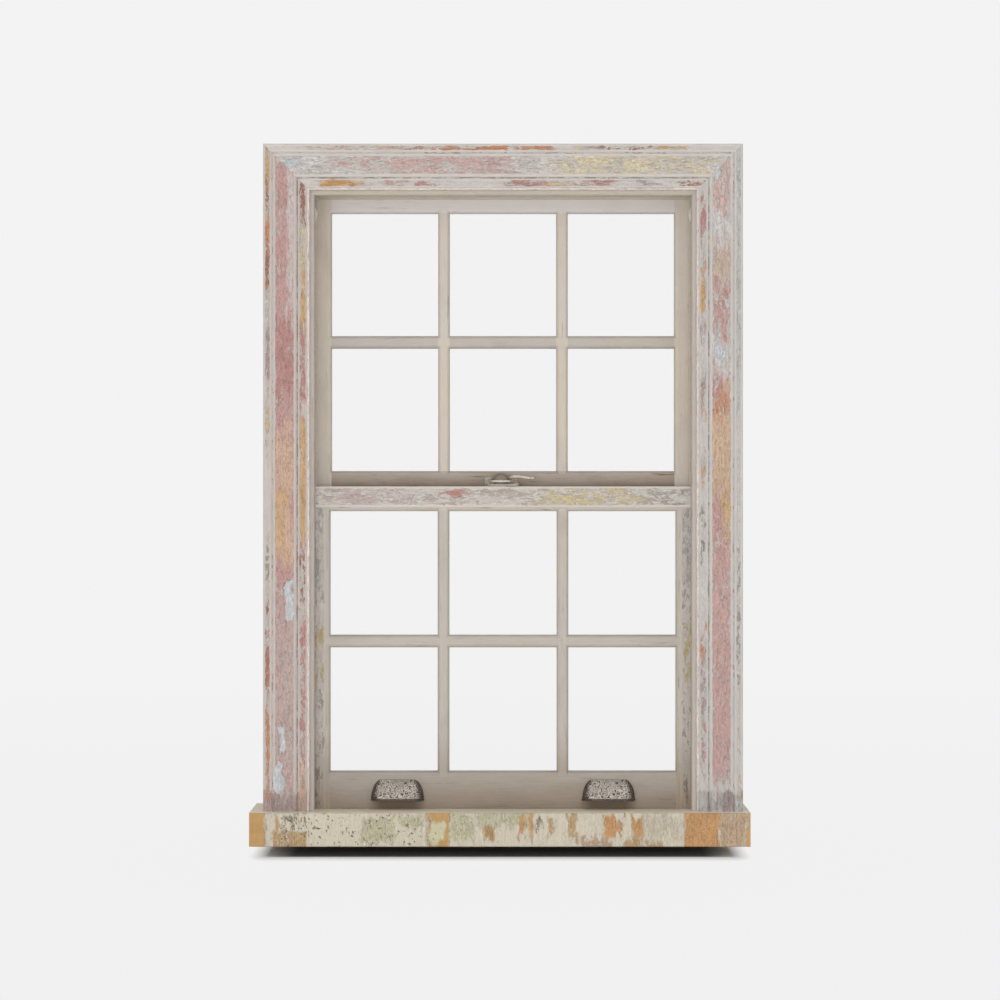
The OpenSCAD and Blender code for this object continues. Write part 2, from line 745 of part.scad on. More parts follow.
function lift_curve(reach, high) = [for (k = [0:2 * steps]) let (a = 90 * k / (2 * steps))
    [reach * cos(a), high * sin(a)]];

// Section of the shell as [stand-off, height]: the lip, the outside upwards, then the inside downwards.
function lift_line() = concat([[lift_reach + lift_lip * 0.6, 0], [lift_reach + lift_lip, lift_lip * 0.7],
    [lift_reach + lift_lip * 0.6, lift_lip * 1.6]],
    [for (k = [1:2 * steps]) lift_curve(lift_reach, lift_h)[k]],
    reverse(lift_curve(lift_reach - lift_wall, lift_h - lift_wall)));

// Outline of the back plate that closes the cup against its rail.
function lift_back() = let (half = lift_curve(lift_reach - lift_wall / 2, lift_h - lift_wall / 2))
    concat([for (p = half) [lift_flat / 2 + p[0], p[1]]],
        reverse([for (p = half) [-lift_flat / 2 - p[0], p[1]]]));

// Sash lock: a base screwed to the meeting rail, and a lever whose half disc turns into the keeper.
module lock_base() {
    round_r = lock_base_w / 2;
    color([0.48, 0.46, 0.42]) translate([0, lock_y, rail_top]) {
        linear_extrude(lock_base_t) union() {
            square([lock_base_l - lock_base_w, lock_base_w], center = true);
            for (s = [-1, 1]) translate([s * (lock_base_l / 2 - round_r), 0]) circle(r = round_r);
        }
        translate([lock_x, 0, lock_base_t])
            cylinder(r1 = lock_base_w / 2, r2 = lock_base_w / 2 - 2, h = lock_lift - 0.4);
        translate([lock_x, 0, lock_base_t])
            cylinder(r = lock_post_r, h = lock_lift + lock_disc_t + lock_boss_h);
    }
}

module lock_lever() {
    boss_z = lock_disc_t;
    color([0.52, 0.50, 0.46]) translate([lock_x, lock_y, disc_z]) difference() {
        union() {
            difference() {
                cylinder(r = lock_disc_r, h = lock_disc_t);
                span([-lock_disc_r - 1, 0, -1], [lock_disc_r + 1, lock_disc_r + 1, lock_disc_t + 1]);
            }
            cylinder(r = lock_boss_r, h = lock_disc_t);
            translate([0, 0, boss_z]) rotate_extrude() polygon(concat([[0, 0]],
                [for (k = [0:steps]) let (a = 90 * k / steps)
                    [lock_post_r + 2 + (lock_boss_r - lock_post_r - 2) * cos(a), lock_boss_h * sin(a)]],
                [[0, lock_boss_h]]));
            lever_arm();
        }
        translate([0, 0, -1]) cylinder(r = lock_post_r + pin_gap, h = lock_disc_t + lock_boss_h + 2);
    }
}

// The arm waves a little up and down along its length and swells into a thumb pad at its tip.
function wave(x) = lock_disc_t + lock_boss_h * 0.42
    + 1.6 * sin(300 * (x - lock_boss_r) / (lever_l - lock_boss_r));

module lever_arm() {
    pad = 5;
    n = 12;
    start = lock_boss_r - 6;
    intersection() {
        linear_extrude(lock_disc_t + lock_boss_h * 2) union() {
            polygon([[start, -6], [lever_l - 2 * pad, -3], [lever_l - 2 * pad, 3], [start, 6]]);
            translate([lever_l - pad, 0]) circle(r = pad);
            translate([lever_l - 3 * pad, -3]) square([2 * pad, 6]);
        }
        translate([0, lever_l, 0]) rotate([90, 0, 0]) linear_extrude(2 * lever_l) polygon(concat(
            [for (k = [0:n]) let (x = start + (lever_l - start) * k / n) [x, wave(x) - lever_t / 2]],
            [for (k = [n:-1:0]) let (x = start + (lever_l - start) * k / n) [x, wave(x) + lever_t / 2]]));
    }
}

// Upper sash, behind: its meeting rail is cut for the keeper's plate and carries a planted weather bead.
module in_upper() {
    translate([0, upper_y, upper_z]) children();
}

module upper_stile(side) {
    in_upper() on_side(side) stile(upper_meet_h, top_rail_h, upper_h);
}

module upper_top_rail() {
    in_upper() rail(upper_h - top_rail_h, upper_h, pane_rows - 1, upper_meet_h);
}

module upper_meeting_rail() {
    difference() {
        in_upper() rail(0, upper_meet_h, 0, upper_meet_h);
        keeper_plate(fit_gap, 1);
    }
}

module upper_meeting_bead() {
    color([0.70, 0.67, 0.62]) in_upper() along_x(-lip_half, lip_half) polygon([[0, 0], [-lip_reach, 0],
        [-lip_reach, meet_overlap - lip_bevel], [lip_bevel - lip_reach, meet_overlap], [0, meet_overlap]]);
}

module upper_upright_bars() {
    in_upper() upright_bars(upper_meet_h);
}

module upper_cross_bars() {
    in_upper() cross_bars(upper_meet_h);
}

module upper_glass() {
    in_upper() glass(upper_meet_h);
}

module upper_putty() {
    in_upper() putty(upper_meet_h);
}

// Keeper: a plate let in flush, with a strike standing out from it that is slotted for the lock's half disc.
module keeper_plate(gap, front) {
    mid = disc_z + lock_disc_t / 2;
    span([lock_x - keeper_l / 2 - gap, upper_y - front, mid - keeper_h / 2 - gap],
        [lock_x + keeper_l / 2 + gap, upper_y + keeper_t, mid + keeper_h / 2 + gap]);
}

module lock_keeper() {
    half = keeper_slot / 2;
    low = disc_z - keeper_gap;
    high = disc_z + lock_disc_t + keeper_gap;
    color([0.48, 0.46, 0.42]) difference() {
        union() {
            keeper_plate(0, 0);
            span([lock_x - half - keeper_wall, strike_y, low - keeper_wall],
                [lock_x + half + keeper_wall, upper_y + keeper_t / 2, high + keeper_wall]);
        }
        span([lock_x - half, strike_y - 1, low], [lock_x + half, upper_y, high]);
    }
}

sill();
head();
pulley_stile(-1);  // pulley_stile_left
pulley_stile(1);  // pulley_stile_right
inside_lining(-1);  // inside_lining_left
inside_lining(1);  // inside_lining_right
inside_lining_head();
outside_lining(-1);  // outside_lining_left
outside_lining(1);  // outside_lining_right
outside_lining_head();
back_lining(-1);  // back_lining_left
back_lining(1);  // back_lining_right
casing(-1);  // casing_left
casing(1);  // casing_right
casing_head();
stop_bead(-1);  // stop_bead_left
stop_bead(1);  // stop_bead_right
stop_bead_head();
parting_bead(-1);  // parting_bead_left
parting_bead(1);  // parting_bead_right
parting_bead_head();
pocket_pieces();
weight_dividers();
pulley_cases();
pulley_axles();
cord(-1, lower_track, lower_knot_z, lower_hang_z);  // cord_lower_left
cord(1, lower_track, lower_knot_z, lower_hang_z);  // cord_lower_right
cord(-1, upper_track, upper_knot_z, upper_hang_z);  // cord_upper_left
cord(1, upper_track, upper_knot_z, upper_hang_z);  // cord_upper_right
pulley_wheel(-1, lower_track);  // pulley_lower_left
pulley_wheel(1, lower_track);  // pulley_lower_right
pulley_wheel(-1, upper_track);  // pulley_upper_left
pulley_wheel(1, upper_track);  // pulley_upper_right
weight(-1, lower_track, lower_weight_z, lower_weight_l);  // weight_lower_left
weight(1, lower_track, lower_weight_z, lower_weight_l);  // weight_lower_right
weight(-1, upper_track, upper_weight_z, upper_weight_l);  // weight_upper_left
weight(1, upper_track, upper_weight_z, upper_weight_l);  // weight_upper_right
lower_stile(-1);  // lower_stile_left
lower_stile(1);  // lower_stile_right
lower_meeting_rail();
lower_bottom_rail();
lower_upright_bars();
lower_cross_bars();
lower_glass();
lower_putty();
lift(-1);  // lift_left
lift(1);  // lift_right
lock_base();
lock_lever();
upper_stile(-1);  // upper_stile_left
upper_stile(1);  // upper_stile_right
upper_top_rail();
upper_meeting_rail();
upper_meeting_bead();
upper_upright_bars();
upper_cross_bars();
upper_glass();
upper_putty();
lock_keeper();
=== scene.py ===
import math

import bpy
import numpy as np
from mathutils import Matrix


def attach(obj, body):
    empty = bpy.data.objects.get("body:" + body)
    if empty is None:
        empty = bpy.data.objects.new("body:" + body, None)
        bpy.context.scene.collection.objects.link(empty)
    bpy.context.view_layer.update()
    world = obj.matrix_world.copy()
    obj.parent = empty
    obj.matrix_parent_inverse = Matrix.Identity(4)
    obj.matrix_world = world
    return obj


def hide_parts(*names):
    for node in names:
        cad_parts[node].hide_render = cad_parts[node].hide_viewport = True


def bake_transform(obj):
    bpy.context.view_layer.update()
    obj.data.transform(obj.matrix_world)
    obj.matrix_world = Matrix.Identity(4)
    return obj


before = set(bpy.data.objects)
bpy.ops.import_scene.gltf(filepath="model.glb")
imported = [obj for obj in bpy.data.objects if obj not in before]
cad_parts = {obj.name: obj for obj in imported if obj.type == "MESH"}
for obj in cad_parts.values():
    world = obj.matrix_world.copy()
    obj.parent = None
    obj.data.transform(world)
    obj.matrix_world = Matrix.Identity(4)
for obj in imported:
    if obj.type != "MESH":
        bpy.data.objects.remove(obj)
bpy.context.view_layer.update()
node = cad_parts
bpy.context.scene.view_settings.view_transform = "Standard"


# Sill
# One heavy softwood board under the whole window, level inside and weathered outside.
# Its room face carries a thick cracked film of old cream paint, worn through to ochre, olive and primer.
def srgb(r, g, b):
    """A display colour from 0 to 255 turned into the linear light that shaders take."""
    c = np.array([r, g, b], float) / 255
    return np.where(c <= 0.04045, c / 12.92, ((c + 0.055) / 1.055) ** 2.4)


def rgba(r, g, b):
    """The same colour as four numbers for a shader socket."""
    return tuple(srgb(r, g, b)) + (1.0,)


def smooth(low, high, x):
    """0 below low and 1 above high, joined by the 3t^2 - 2t^3 curve."""
    t = np.clip((x - low) / (high - low), 0, 1)
    return t * t * (3 - 2 * t)


def lerp(a, b, share):
    """The mix of two arrays of colours, share being one number for each point."""
    return a + (b - a) * share[..., None]


def scatter(iu, iv, seed):
    """One random number from 0 to 1 for each lattice point: a whole-number hash of its two indices."""
    h = (iu.astype(np.int64) * 374761393 + iv.astype(np.int64) * 668265263 + seed * 974634211) & 0xFFFFFFFF
    h = ((h ^ (h >> 13)) * 1274126177) & 0xFFFFFFFF
    return ((h ^ (h >> 16)) & 0xFFFFFF) / float(0xFFFFFF)


def mottle(u, v, size_u, size_v, seed, octaves=4):
    """A smooth random field from 0 to 1: lattice numbers joined smoothly, finer copies at half the weight."""
    total = np.zeros_like(u)
    for k in range(octaves):
        a = u / size_u * 2**k
        b = v / size_v * 2**k
        iu = np.floor(a)
        iv = np.floor(b)
        fu = smooth(0, 1, a - iu)
        fv = smooth(0, 1, b - iv)
        low = scatter(iu, iv, seed + k) * (1 - fu) + scatter(iu + 1, iv, seed + k) * fu
        high = scatter(iu, iv + 1, seed + k) * (1 - fu) + scatter(iu + 1, iv + 1, seed + k) * fu
        total += (low * (1 - fv) + high * fv) * 0.5**k
    return total / (2 - 0.5 ** (octaves - 1))


def plates(u, v, size_u, size_v, seed):
    """Cracked film. Each lattice cell holds one scattered centre and a point belongs to the nearest of them.
    Returns the gap to the second nearest, which is 0 on a crack, and the owner's own random number."""
    a = u / size_u
    b = v / size_v
    iu = np.floor(a)
    iv = np.floor(b)
    near = np.full(a.shape, 9.0)
    second = near.copy()
    owner = np.zeros(a.shape)
    for du in (-1, 0, 1):
        for dv in (-1, 0, 1):
            cu = iu + du
            cv = iv + dv
            d = np.hypot(cu + scatter(cu, cv, seed) - a, cv + scatter(cu, cv, seed + 1) - b)
            closer = d < near
            second = np.where(closer, near, np.minimum(second, d))
            owner = np.where(closer, scatter(cu, cv, seed + 2), owner)
            near = np.where(closer, d, near)
    return second - near, owner


def torn_patch(u, v, span_u, span_v, rag, grain, seed):
    """1 inside a box and 0 outside it, its outline torn by a random field. rag is how deep the tears run
    across and along the board, and grain how wide and long they are, in millimetres."""
    torn = 2 * mottle(u, v, grain[0], grain[1], seed, 5) - 1
    edge_u = np.minimum(u - span_u[0], span_u[1] - u) + rag[0] * torn
    edge_v = np.minimum(v - span_v[0], span_v[1] - v) + rag[1] * torn
    return smooth(-0.35 * rag[0], 0.35 * rag[0], edge_u) * smooth(-0.45 * rag[1], 0.45 * rag[1], edge_v)


def put(name, data):
    """A new object for some data, put into the scene."""
    made = bpy.data.objects.new(name, data)
    bpy.context.scene.collection.objects.link(made)
    return made


def grid_mesh(name, points, fields, soft=False):
    """A closed skin from a grid of points, rows along v and u closing on itself, with its two ends capped.
    fields are numbers or colours for each point, kept in the mesh under their names, and soft is for a skin
    that shades as a round one. Where the signed volume, the sum of the faces' triple products, comes out
    negative, the faces are turned outwards."""
    nv, nu, _ = points.shape
    index = np.arange(nv * nu).reshape(nv, nu)
    index = np.concatenate([index, index[:, :1]], axis=1)
    quads = np.stack([index[:-1, :-1], index[:-1, 1:], index[1:, 1:], index[1:, :-1]], axis=-1)
    quads = quads.reshape(-1, 4)
    faces = quads.tolist() + [index[0, :-1][::-1].tolist(), index[-1, :-1].tolist()]
    flat = points.reshape(-1, 3) - points.mean(axis=(0, 1))
    a, b, c, d = (flat[quads[:, corner]] for corner in range(4))
    if np.sum(a * np.cross(b, c)) + np.sum(a * np.cross(c, d)) < 0:
        faces = [face[::-1] for face in faces]
    mesh = bpy.data.meshes.new(name)
    mesh.from_pydata(points.reshape(-1, 3).tolist(), [], faces, shade_flat=not soft)
    mesh.update()
    for key, field in fields.items():
        if field.ndim == 3:
            layer = mesh.attributes.new(key, "FLOAT_COLOR", "POINT")
            full = np.concatenate([field.reshape(-1, 3), np.ones((nv * nu, 1))], 1)
            layer.data.foreach_set("color", full.ravel())
        else:
            layer = mesh.attributes.new(key, "FLOAT", "POINT")
            layer.data.foreach_set("value", field.ravel())
    return put(name, mesh)


def feed(tree, made, inputs):
    """A node's inputs by name or place, each a value or the socket that feeds it."""
    for key, value in inputs.items():
        if isinstance(value, bpy.types.NodeSocket):
            tree.links.new(value, made.inputs[key])
        else:
            made.inputs[key].default_value = value


def add(tree, kind, inputs=None, **settings):
    """A new shader node with its settings and its inputs."""
    made = tree.nodes.new(kind)
    for key, value in settings.items():
        setattr(made, key, value)
    feed(tree, made, inputs or {})
    return made


def new_finish(name):
    """A material with its node tree and its Principled node."""
    finish = bpy.data.materials.new(name)
    finish.use_nodes = True
    return finish, finish.node_tree, finish.node_tree.nodes["Principled BSDF"]


def math_node(tree, operation, a, b=0.0):
    """One arithmetic step."""
    return add(tree, "ShaderNodeMath", {0: a, 1: b}, operation=operation).outputs[0]


def times(tree, a, b):
    """The product of two values."""
    return math_node(tree, "MULTIPLY", a, b)


def mix(tree, share, a, b, mode="MIX"):
    """One colour mixed into another by a share. A display colour of three numbers is turned into light."""
    a, b = (rgba(*c) if isinstance(c, tuple) and len(c) == 3 else c for c in (a, b))
    return add(tree, "ShaderNodeMix", {0: share, 6: a, 7: b}, data_type="RGBA", blend_type=mode).outputs[2]


def spread(tree, value, low, high, to_low=0.0, to_high=1.0):
    """A value stretched from one range to another, held at its ends."""
    return add(tree, "ShaderNodeMapRange", {0: value, 1: low, 2: high, 3: to_low, 4: to_high}).outputs[0]


def grey(tree, level):
    """A level as a colour without a hue."""
    return add(tree, "ShaderNodeCombineXYZ", {0: level, 1: level, 2: level}).outputs[0]


def grain_at(tree, along="z", share=1.0):
    """Object coordinates, shortened along the grain to a share, which draws a pattern out that way."""
    coords = add(tree, "ShaderNodeTexCoord").outputs["Object"]
    scale = (share, 1, 1) if along == "x" else (1, 1, share)
    return add(tree, "ShaderNodeMapping", {"Vector": coords, "Scale": scale}).outputs[0]


def noise(tree, vector, scale, detail=4.0, rough=0.55, distort=0.0):
    """A noise field read at a vector."""
    made = add(tree, "ShaderNodeTexNoise", {"Vector": vector, "Scale": scale, "Detail": detail,
                                            "Roughness": rough, "Distortion": distort})
    return made.outputs[0]


def field_of(tree, name, output="Fac"):
    """One of the piece's own fields, as its mesh keeps it."""
    return add(tree, "ShaderNodeAttribute", attribute_name=name).outputs[output]


def coat(tree, skin, colour, rough, relief, strength, depth, metal=0.0):
    """The last step of a finish: its colour, its roughness, and a relief as bumps of a depth in metres."""
    bump = add(tree, "ShaderNodeBump", {"Height": relief, "Strength": strength, "Distance": depth}).outputs[0]
    feed(tree, skin, {"Base Color": colour, "Roughness": rough, "Normal": bump, "Metallic": metal})


def settle_grime_and_shade(tree, colour, stain, grime_shade_levels):
    """Grime and painted shade over a colour, full below the lower of two heights in metres and thinning out
    up to the higher, ragged by a stain.
    """
    height = add(tree, "ShaderNodeSeparateXYZ", {0: grain_at(tree)}).outputs[2]
    ragged = math_node(tree, "ADD", height, spread(tree, stain, 0.3, 0.7, -0.012, 0.012))
    grime_and_shade = spread(tree, ragged, grime_shade_levels[0], grime_shade_levels[1], 0.75, 0.0)
    return mix(tree, grime_and_shade, colour, mix(tree, 1.0, colour, (176, 160, 138), "MULTIPLY"))


def board_film(name, along, top, crest_highlight=0.42, grime_shade_levels=None):
    """Old paint on a board. The piece's own fields give the coat underneath, how worn the top coat is and
    where white filler lies; a fine random threshold breaks the top coat into flakes, and cracks follow the
    grain. The crests of the film's folds are painted pale as highlights and its hollows painted dark as
    shade;
    the argument after top is how pale the crests are, and a wear of 2 has nothing left to flake. The last
    argument gives the heights in metres below which grime and painted shade darken the paint."""
    finish, tree, skin = new_finish(name)
    wear = field_of(tree, "wear")
    at = grain_at(tree, along, 0.4)
    long_at = grain_at(tree, along, 0.12)
    chip = noise(tree, at, 210.0, 4.0, 0.65, 0.6)
    patchy = noise(tree, at, 60.0, 4.0, 0.6, 0.5)
    hold = math_node(tree, "ADD", times(tree, spread(tree, chip, 0.34, 0.66), 0.55),
                     times(tree, spread(tree, patchy, 0.36, 0.64), 0.45))
    gone = math_node(tree, "SUBTRACT", wear, hold)
    bare = spread(tree, gone, -0.05, 0.05)
    lip = times(tree, spread(tree, gone, -0.16, -0.02), spread(tree, gone, -0.02, 0.03, 1.0, 0.0))
    # Painted highlight on the crests of the film's folds, painted shade in its hollows, and dark cracks along
    # the grain.
    fold = math_node(tree, "SUBTRACT", noise(tree, at, 260.0, 3.0, 0.6, 1.2), 0.5)
    crest = spread(tree, math_node(tree, "ABSOLUTE", fold), 0.0, 0.055, 1.0, 0.0)
    hollow = spread(tree, noise(tree, at, 330.0, 3.0, 0.6, 0.8), 0.56, 0.66)
    split = spread(tree, noise(tree, long_at, 330.0, 3.0, 0.6, 0.4), 0.60, 0.66)
    flaking = times(tree, spread(tree, wear, 0.15, 0.6), spread(tree, wear, 1.6, 1.9, 1.0, 0.0))
    dark = times(tree, math_node(tree, "MAXIMUM", hollow, split), flaking)
    pale = times(tree, crest, flaking)
    tint = grey(tree, spread(tree, noise(tree, long_at, 190.0, 4.0, 0.6), 0.3, 0.7, 0.94, 1.06))
    clean = mix(tree, spread(tree, patchy, 0.35, 0.7, 0.0, 0.5), top, tuple(c * 0.94 for c in top))
    colour = mix(tree, bare, clean, field_of(tree, "under", "Color"))
    colour = mix(tree, times(tree, pale, crest_highlight), colour, (226, 216, 210))
    colour = mix(tree, times(tree, lip, 0.35), colour, (228, 222, 216))
    colour = mix(tree, 1.0, colour, tint, "MULTIPLY")
    colour = mix(tree, times(tree, dark, 0.30), colour, (98, 74, 66))
    lump = noise(tree, at, 260.0, 5.0, 0.75)
    laid = math_node(tree, "SUBTRACT", field_of(tree, "filler"), spread(tree, lump, 0.3, 0.7, 0.15, 0.85))
    white = spread(tree, laid, -0.04, 0.04)
    chalky = mix(tree, spread(tree, lump, 0.35, 0.65), (196, 198, 198), (224, 227, 228))
    colour = mix(tree, white, colour, chalky)
    if grime_shade_levels:
        colour = settle_grime_and_shade(tree, colour, patchy, grime_shade_levels)
    relief = math_node(tree, "ADD", times(tree, bare, -0.5), times(tree, pale, 0.6))
    relief = math_node(tree, "SUBTRACT", relief, times(tree, dark, 0.7))
    relief = math_node(tree, "ADD", relief, times(tree, white, math_node(tree, "ADD", lump, 0.5)))
    coat(tree, skin, colour, spread(tree, bare, 0.0, 1.0, 0.46, 0.68), relief, 0.8, 0.0012)
    return finish


def walk(corners, step):
    """Points every step or so along a broken line, and the way out square to it at each of them."""
    corners = np.array(corners, float)
    run = np.concatenate([[0], np.cumsum(np.hypot(*np.diff(corners, axis=0).T))])
    at = np.linspace(0, run[-1], int(run[-1] / step) + 1)
    points = np.stack([np.interp(at, run, corners[:, 0]), np.interp(at, run, corners[:, 1])], 1)
    along = np.gradient(points, axis=0)
    along /= np.linalg.norm(along, axis=1)[:, None]
    return points, np.stack([along[:, 1], -along[:, 0]], 1)


flake_w = 3.6
flake_l = 10.0
sound_coat = 0.30
coat_lost = 0.22
curl_up = 0.30
crack_deep = 0.35


def aged_coats(u, v, patches, edges, rag, grain, seed):
    """Old paint at each point of a board, u across it and v along it in millimetres. patches are (u0, u1,
    v0, v1, colour, how much is worn), later ones over earlier ones and torn as rag and grain say, and edges
    says where the top coat holds (0) or lets go (1). Returns the coat underneath, the wear and the height in
    millimetres, worn places being lower and broken into plates that curl."""
    under = np.zeros(u.shape + (3,)) + srgb(*patches[0][4])
    wear = np.zeros(u.shape) + patches[0][5]
    for k, (u0, u1, v0, v1, colour, share) in enumerate(patches):
        mask = torn_patch(u, v, (u0, u1), (v0, v1), rag, grain, seed + 31 * k)
        under = lerp(under, srgb(*colour), mask)
        wear = wear + (share - wear) * mask
    under = under * (0.90 + 0.20 * mottle(u, v, 10, 26, seed + 3))[..., None]
    bent_u = u + 3.0 * (mottle(u, v, 9, 9, seed + 5) - 0.5)
    bent_v = v + 8.0 * (mottle(u, v, 9, 14, seed + 6) - 0.5)
    gap, owner = plates(bent_u, bent_v, flake_w, flake_l, seed + 7)
    wear = wear * edges
    loose = smooth(0.25, 0.7, wear + 0.5 * (mottle(u, v, 7, 20, seed + 9) - 0.5))
    curl = curl_up * owner - crack_deep * smooth(0.18, 0.02, gap)
    return under, wear, sound_coat + loose * (curl - coat_lost)


back_step = 6


def film_mesh(name, face, back, under, wear, swapped=False):
    """A thin plate in millimetres: the grid of its face, closed by every sixth column of its back. swapped
    changes x with z, for a member that lies level."""
    points = np.concatenate([face, back[:, ::-1][:, ::back_step]], 1)
    fields = {"under": under, "wear": wear, "filler": np.zeros(wear.shape)}
    fields = {key: np.concatenate([f, f[:, ::-1][:, ::back_step]], 1) for key, f in fields.items()}
    if swapped:
        points = points[..., [2, 1, 0]][:, ::-1]
        fields = {key: f[:, ::-1] for key, f in fields.items()}
    return grid_mesh(name, points / 1000, fields)


sill_left = -482.5
sill_right = 470.5
sill_front = -42.0
sill_top = 64.5
sill_round = 3.0
film_foot = 9.0
film_back = -20.0
film_sunk = 0.8
film_least = 0.04
film_base = 0.05
film_step = 1.15
film_stride = 1.5
sill_top_cream = (247, 238, 216)
speck_brown = (132, 116, 88)


def sill_film(patches):
    """The sill's section carried along its length: up its front, over the round edge, back to the casing."""
    r = sill_round
    turn = np.radians(np.linspace(0, 90, 7))
    corners = [(sill_front + film_foot, 0)]
    corners += list(zip(sill_front + r - r * np.sin(turn), r - r * np.cos(turn)))
    corners += list(zip(sill_front + r - r * np.cos(turn), sill_top - r + r * np.sin(turn)))
    corners += [(film_back, sill_top)]
    line, inward = walk(corners, film_step)
    out = -inward
    x = np.arange(sill_left, sill_right + 0.1, film_stride)
    v, u = np.meshgrid(x, line[:, 1], indexing="ij")
    depth = np.broadcast_to(line[:, 0], u.shape)
    on_front = smooth(sill_front + 4.0, sill_front + 1.0, depth)
    under, wear, height = aged_coats(u, v, patches, np.ones(u.shape), (16, 9), (20, 7), 400)
    specks = smooth(0.70, 0.76, mottle(u, v, 5, 4, 431, 3)) * smooth(-436, -420, v) * smooth(-60, -160, v)
    under = lerp(under, srgb(*speck_brown), specks)
    # The top face is an unworn cream, paler than the front, partly a cleaner coat and partly painted light
    # from above.
    under = lerp(np.zeros(under.shape) + srgb(*sill_top_cream), under, on_front)
    wear = 2.0 + (np.maximum(wear, 1.1 * specks) - 2.0) * on_front
    lift = np.maximum(film_base + height * on_front, film_least)
    face = np.stack([v, depth + out[:, 0] * lift, u + out[:, 1] * lift], -1)
    back = np.stack([v, depth - out[:, 0] * film_sunk, u - out[:, 1] * film_sunk], -1)
    return film_mesh("sill_film", face, back, under, wear)


front = (-20, 90)
cream = (212, 202, 180)
ochre = (189, 150, 98)
tan = (198, 166, 122)
olive = (203, 198, 165)
rust = (208, 158, 105)
sill_patches = [
    (*front, -520, 520, cream, 0.30),
    (*front, -520, -453, ochre, 2.0),
    (*front, -450, -436, cream, 0.4),
    (-20, 30, -436, -372, tan, 0.72),
    (6, 90, -433, -427, rust, 0.8),
    (30, 66, -420, -372, (150, 140, 116), 0.42),
    (6, 56, -268, -206, olive, 0.72),
    (36, 60, -200, -152, olive, 0.70),
    (*front, -143, -104, ochre, 2.0),
    (8, 48, -138, -110, olive, 2.0),
    (14, 66, -100, -56, olive, 0.68),
    (36, 90, -54, 50, olive, 0.62),
    (14, 36, -37, -18, ochre, 0.9),
    (14, 60, 31, 40, rust, 0.8),
    (12, 90, 49, 58, rust, 0.85),
    (22, 54, 64, 72, (112, 104, 90), 0.7),
    (18, 60, 86, 98, tan, 0.7),
    (10, 64, 122, 140, tan, 0.7),
    (-20, 18, 148, 206, (196, 166, 140), 0.7),
    (24, 58, 192, 230, rust, 0.62),
    (14, 54, 244, 264, rust, 0.72),
    (-20, 20, 226, 300, tan, 0.62),
    (*front, 343, 412, rust, 0.9),
    (*front, 412, 462, (200, 172, 142), 0.7),
    (*front, 462, 490, (200, 160, 112), 2.0),
    (16, 62, 270, 338, (202, 190, 166), 0.5),
]
film = sill_film(sill_patches)
film.data.materials.append(board_film("sill_old_paint", "z", (216, 207, 186), crest_highlight=0.18))
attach(film, "frame")


def brushed_paint(name, along, base, deep, tint, crack=0.25, grime_shade_levels=None):
    """Old oil paint brushed along a member: faint streaks, hair cracks along the grain and slow changes of
    tint. crack is how dark the cracks are, and the last argument gives the heights below which grime and
    painted shade darken the paint."""
    finish, tree, skin = new_finish(name)
    fine = grain_at(tree, along, 0.05)
    broad = grain_at(tree, along, 0.4)
    streak = noise(tree, fine, 520.0, 4.0, 0.6)
    cloud = noise(tree, broad, 9.0, 4.0, 0.6)
    stain = noise(tree, broad, 21.0, 5.0, 0.65)
    colour = mix(tree, spread(tree, cloud, 0.38, 0.66), base, tint)
    colour = mix(tree, spread(tree, stain, 0.52, 0.74, 0.0, 0.55), colour, deep)
    colour = mix(tree, spread(tree, streak, 0.35, 0.72, 0.0, 0.35), colour, deep)
    line = spread(tree, noise(tree, fine, 300.0, 3.0, 0.7, 0.4), 0.62, 0.66)
    line = times(tree, line, spread(tree, noise(tree, broad, 14.0, 3.0), 0.45, 0.62))
    colour = mix(tree, times(tree, line, crack), colour, (104, 92, 80))
    if grime_shade_levels:
        colour = settle_grime_and_shade(tree, colour, stain, grime_shade_levels)
    relief = math_node(tree, "SUBTRACT", times(tree, streak, 0.6), line)
    coat(tree, skin, colour, spread(tree, stain, 0.3, 0.7, 0.42, 0.62), relief, 0.35, 0.0005)
    return finish


def dress(names, finish):
    """One finish on several of the solids."""
    for name in names:
        node[name].data.materials.clear()
        node[name].data.materials.append(finish)


dress(["sill"],
      brushed_paint("sill_cream", "x", (242, 235, 216), (214, 190, 148), (236, 227, 204), crack=0.5))


# Box frame
# Pulley stiles, head and linings are planed softwood boards nailed up into two hollow boxes and a top.
# What faces the room or the weather is painted, and the inside of the boxes is left bare.
def both(*stems):
    """The names of the left and the right piece of each kind."""
    return [f"{stem}_{hand}" for stem in stems for hand in ("left", "right")]


dress(both("pulley_stile", "inside_lining", "outside_lining") + ["pocket_pieces"],
      brushed_paint("frame_greige_z", "z", (196, 188, 184), (176, 167, 159), (197, 190, 181)))
dress(["head", "inside_lining_head", "outside_lining_head"],
      brushed_paint("frame_greige_x", "x", (198, 190, 186), (178, 169, 161), (199, 192, 184)))


def bare_softwood(name):
    """Unpainted old softwood: growth bands along an upright board, with fine pores and a grey bloom."""
    finish, tree, skin = new_finish(name)
    at = grain_at(tree, "z", 0.06)
    bands = add(tree, "ShaderNodeTexWave", {"Vector": at, "Scale": 42.0, "Distortion": 6.0, "Detail": 3.0,
                                            "Detail Scale": 1.6}, bands_direction="X").outputs[1]
    pores = noise(tree, at, 900.0, 3.0)
    bloom = spread(tree, noise(tree, at, 12.0, 4.0), 0.4, 0.7, 0.0, 0.45)
    colour = mix(tree, bands, (186, 152, 112), (146, 110, 74))
    colour = mix(tree, spread(tree, pores, 0.5, 0.75, 0.0, 0.5), colour, (112, 84, 58))
    colour = mix(tree, bloom, colour, (166, 154, 138))
    coat(tree, skin, colour, 0.78, math_node(tree, "ADD", bands, pores), 0.3, 0.0005)
    return finish


dress(both("back_lining") + ["weight_dividers"], bare_softwood("bare_softwood"))


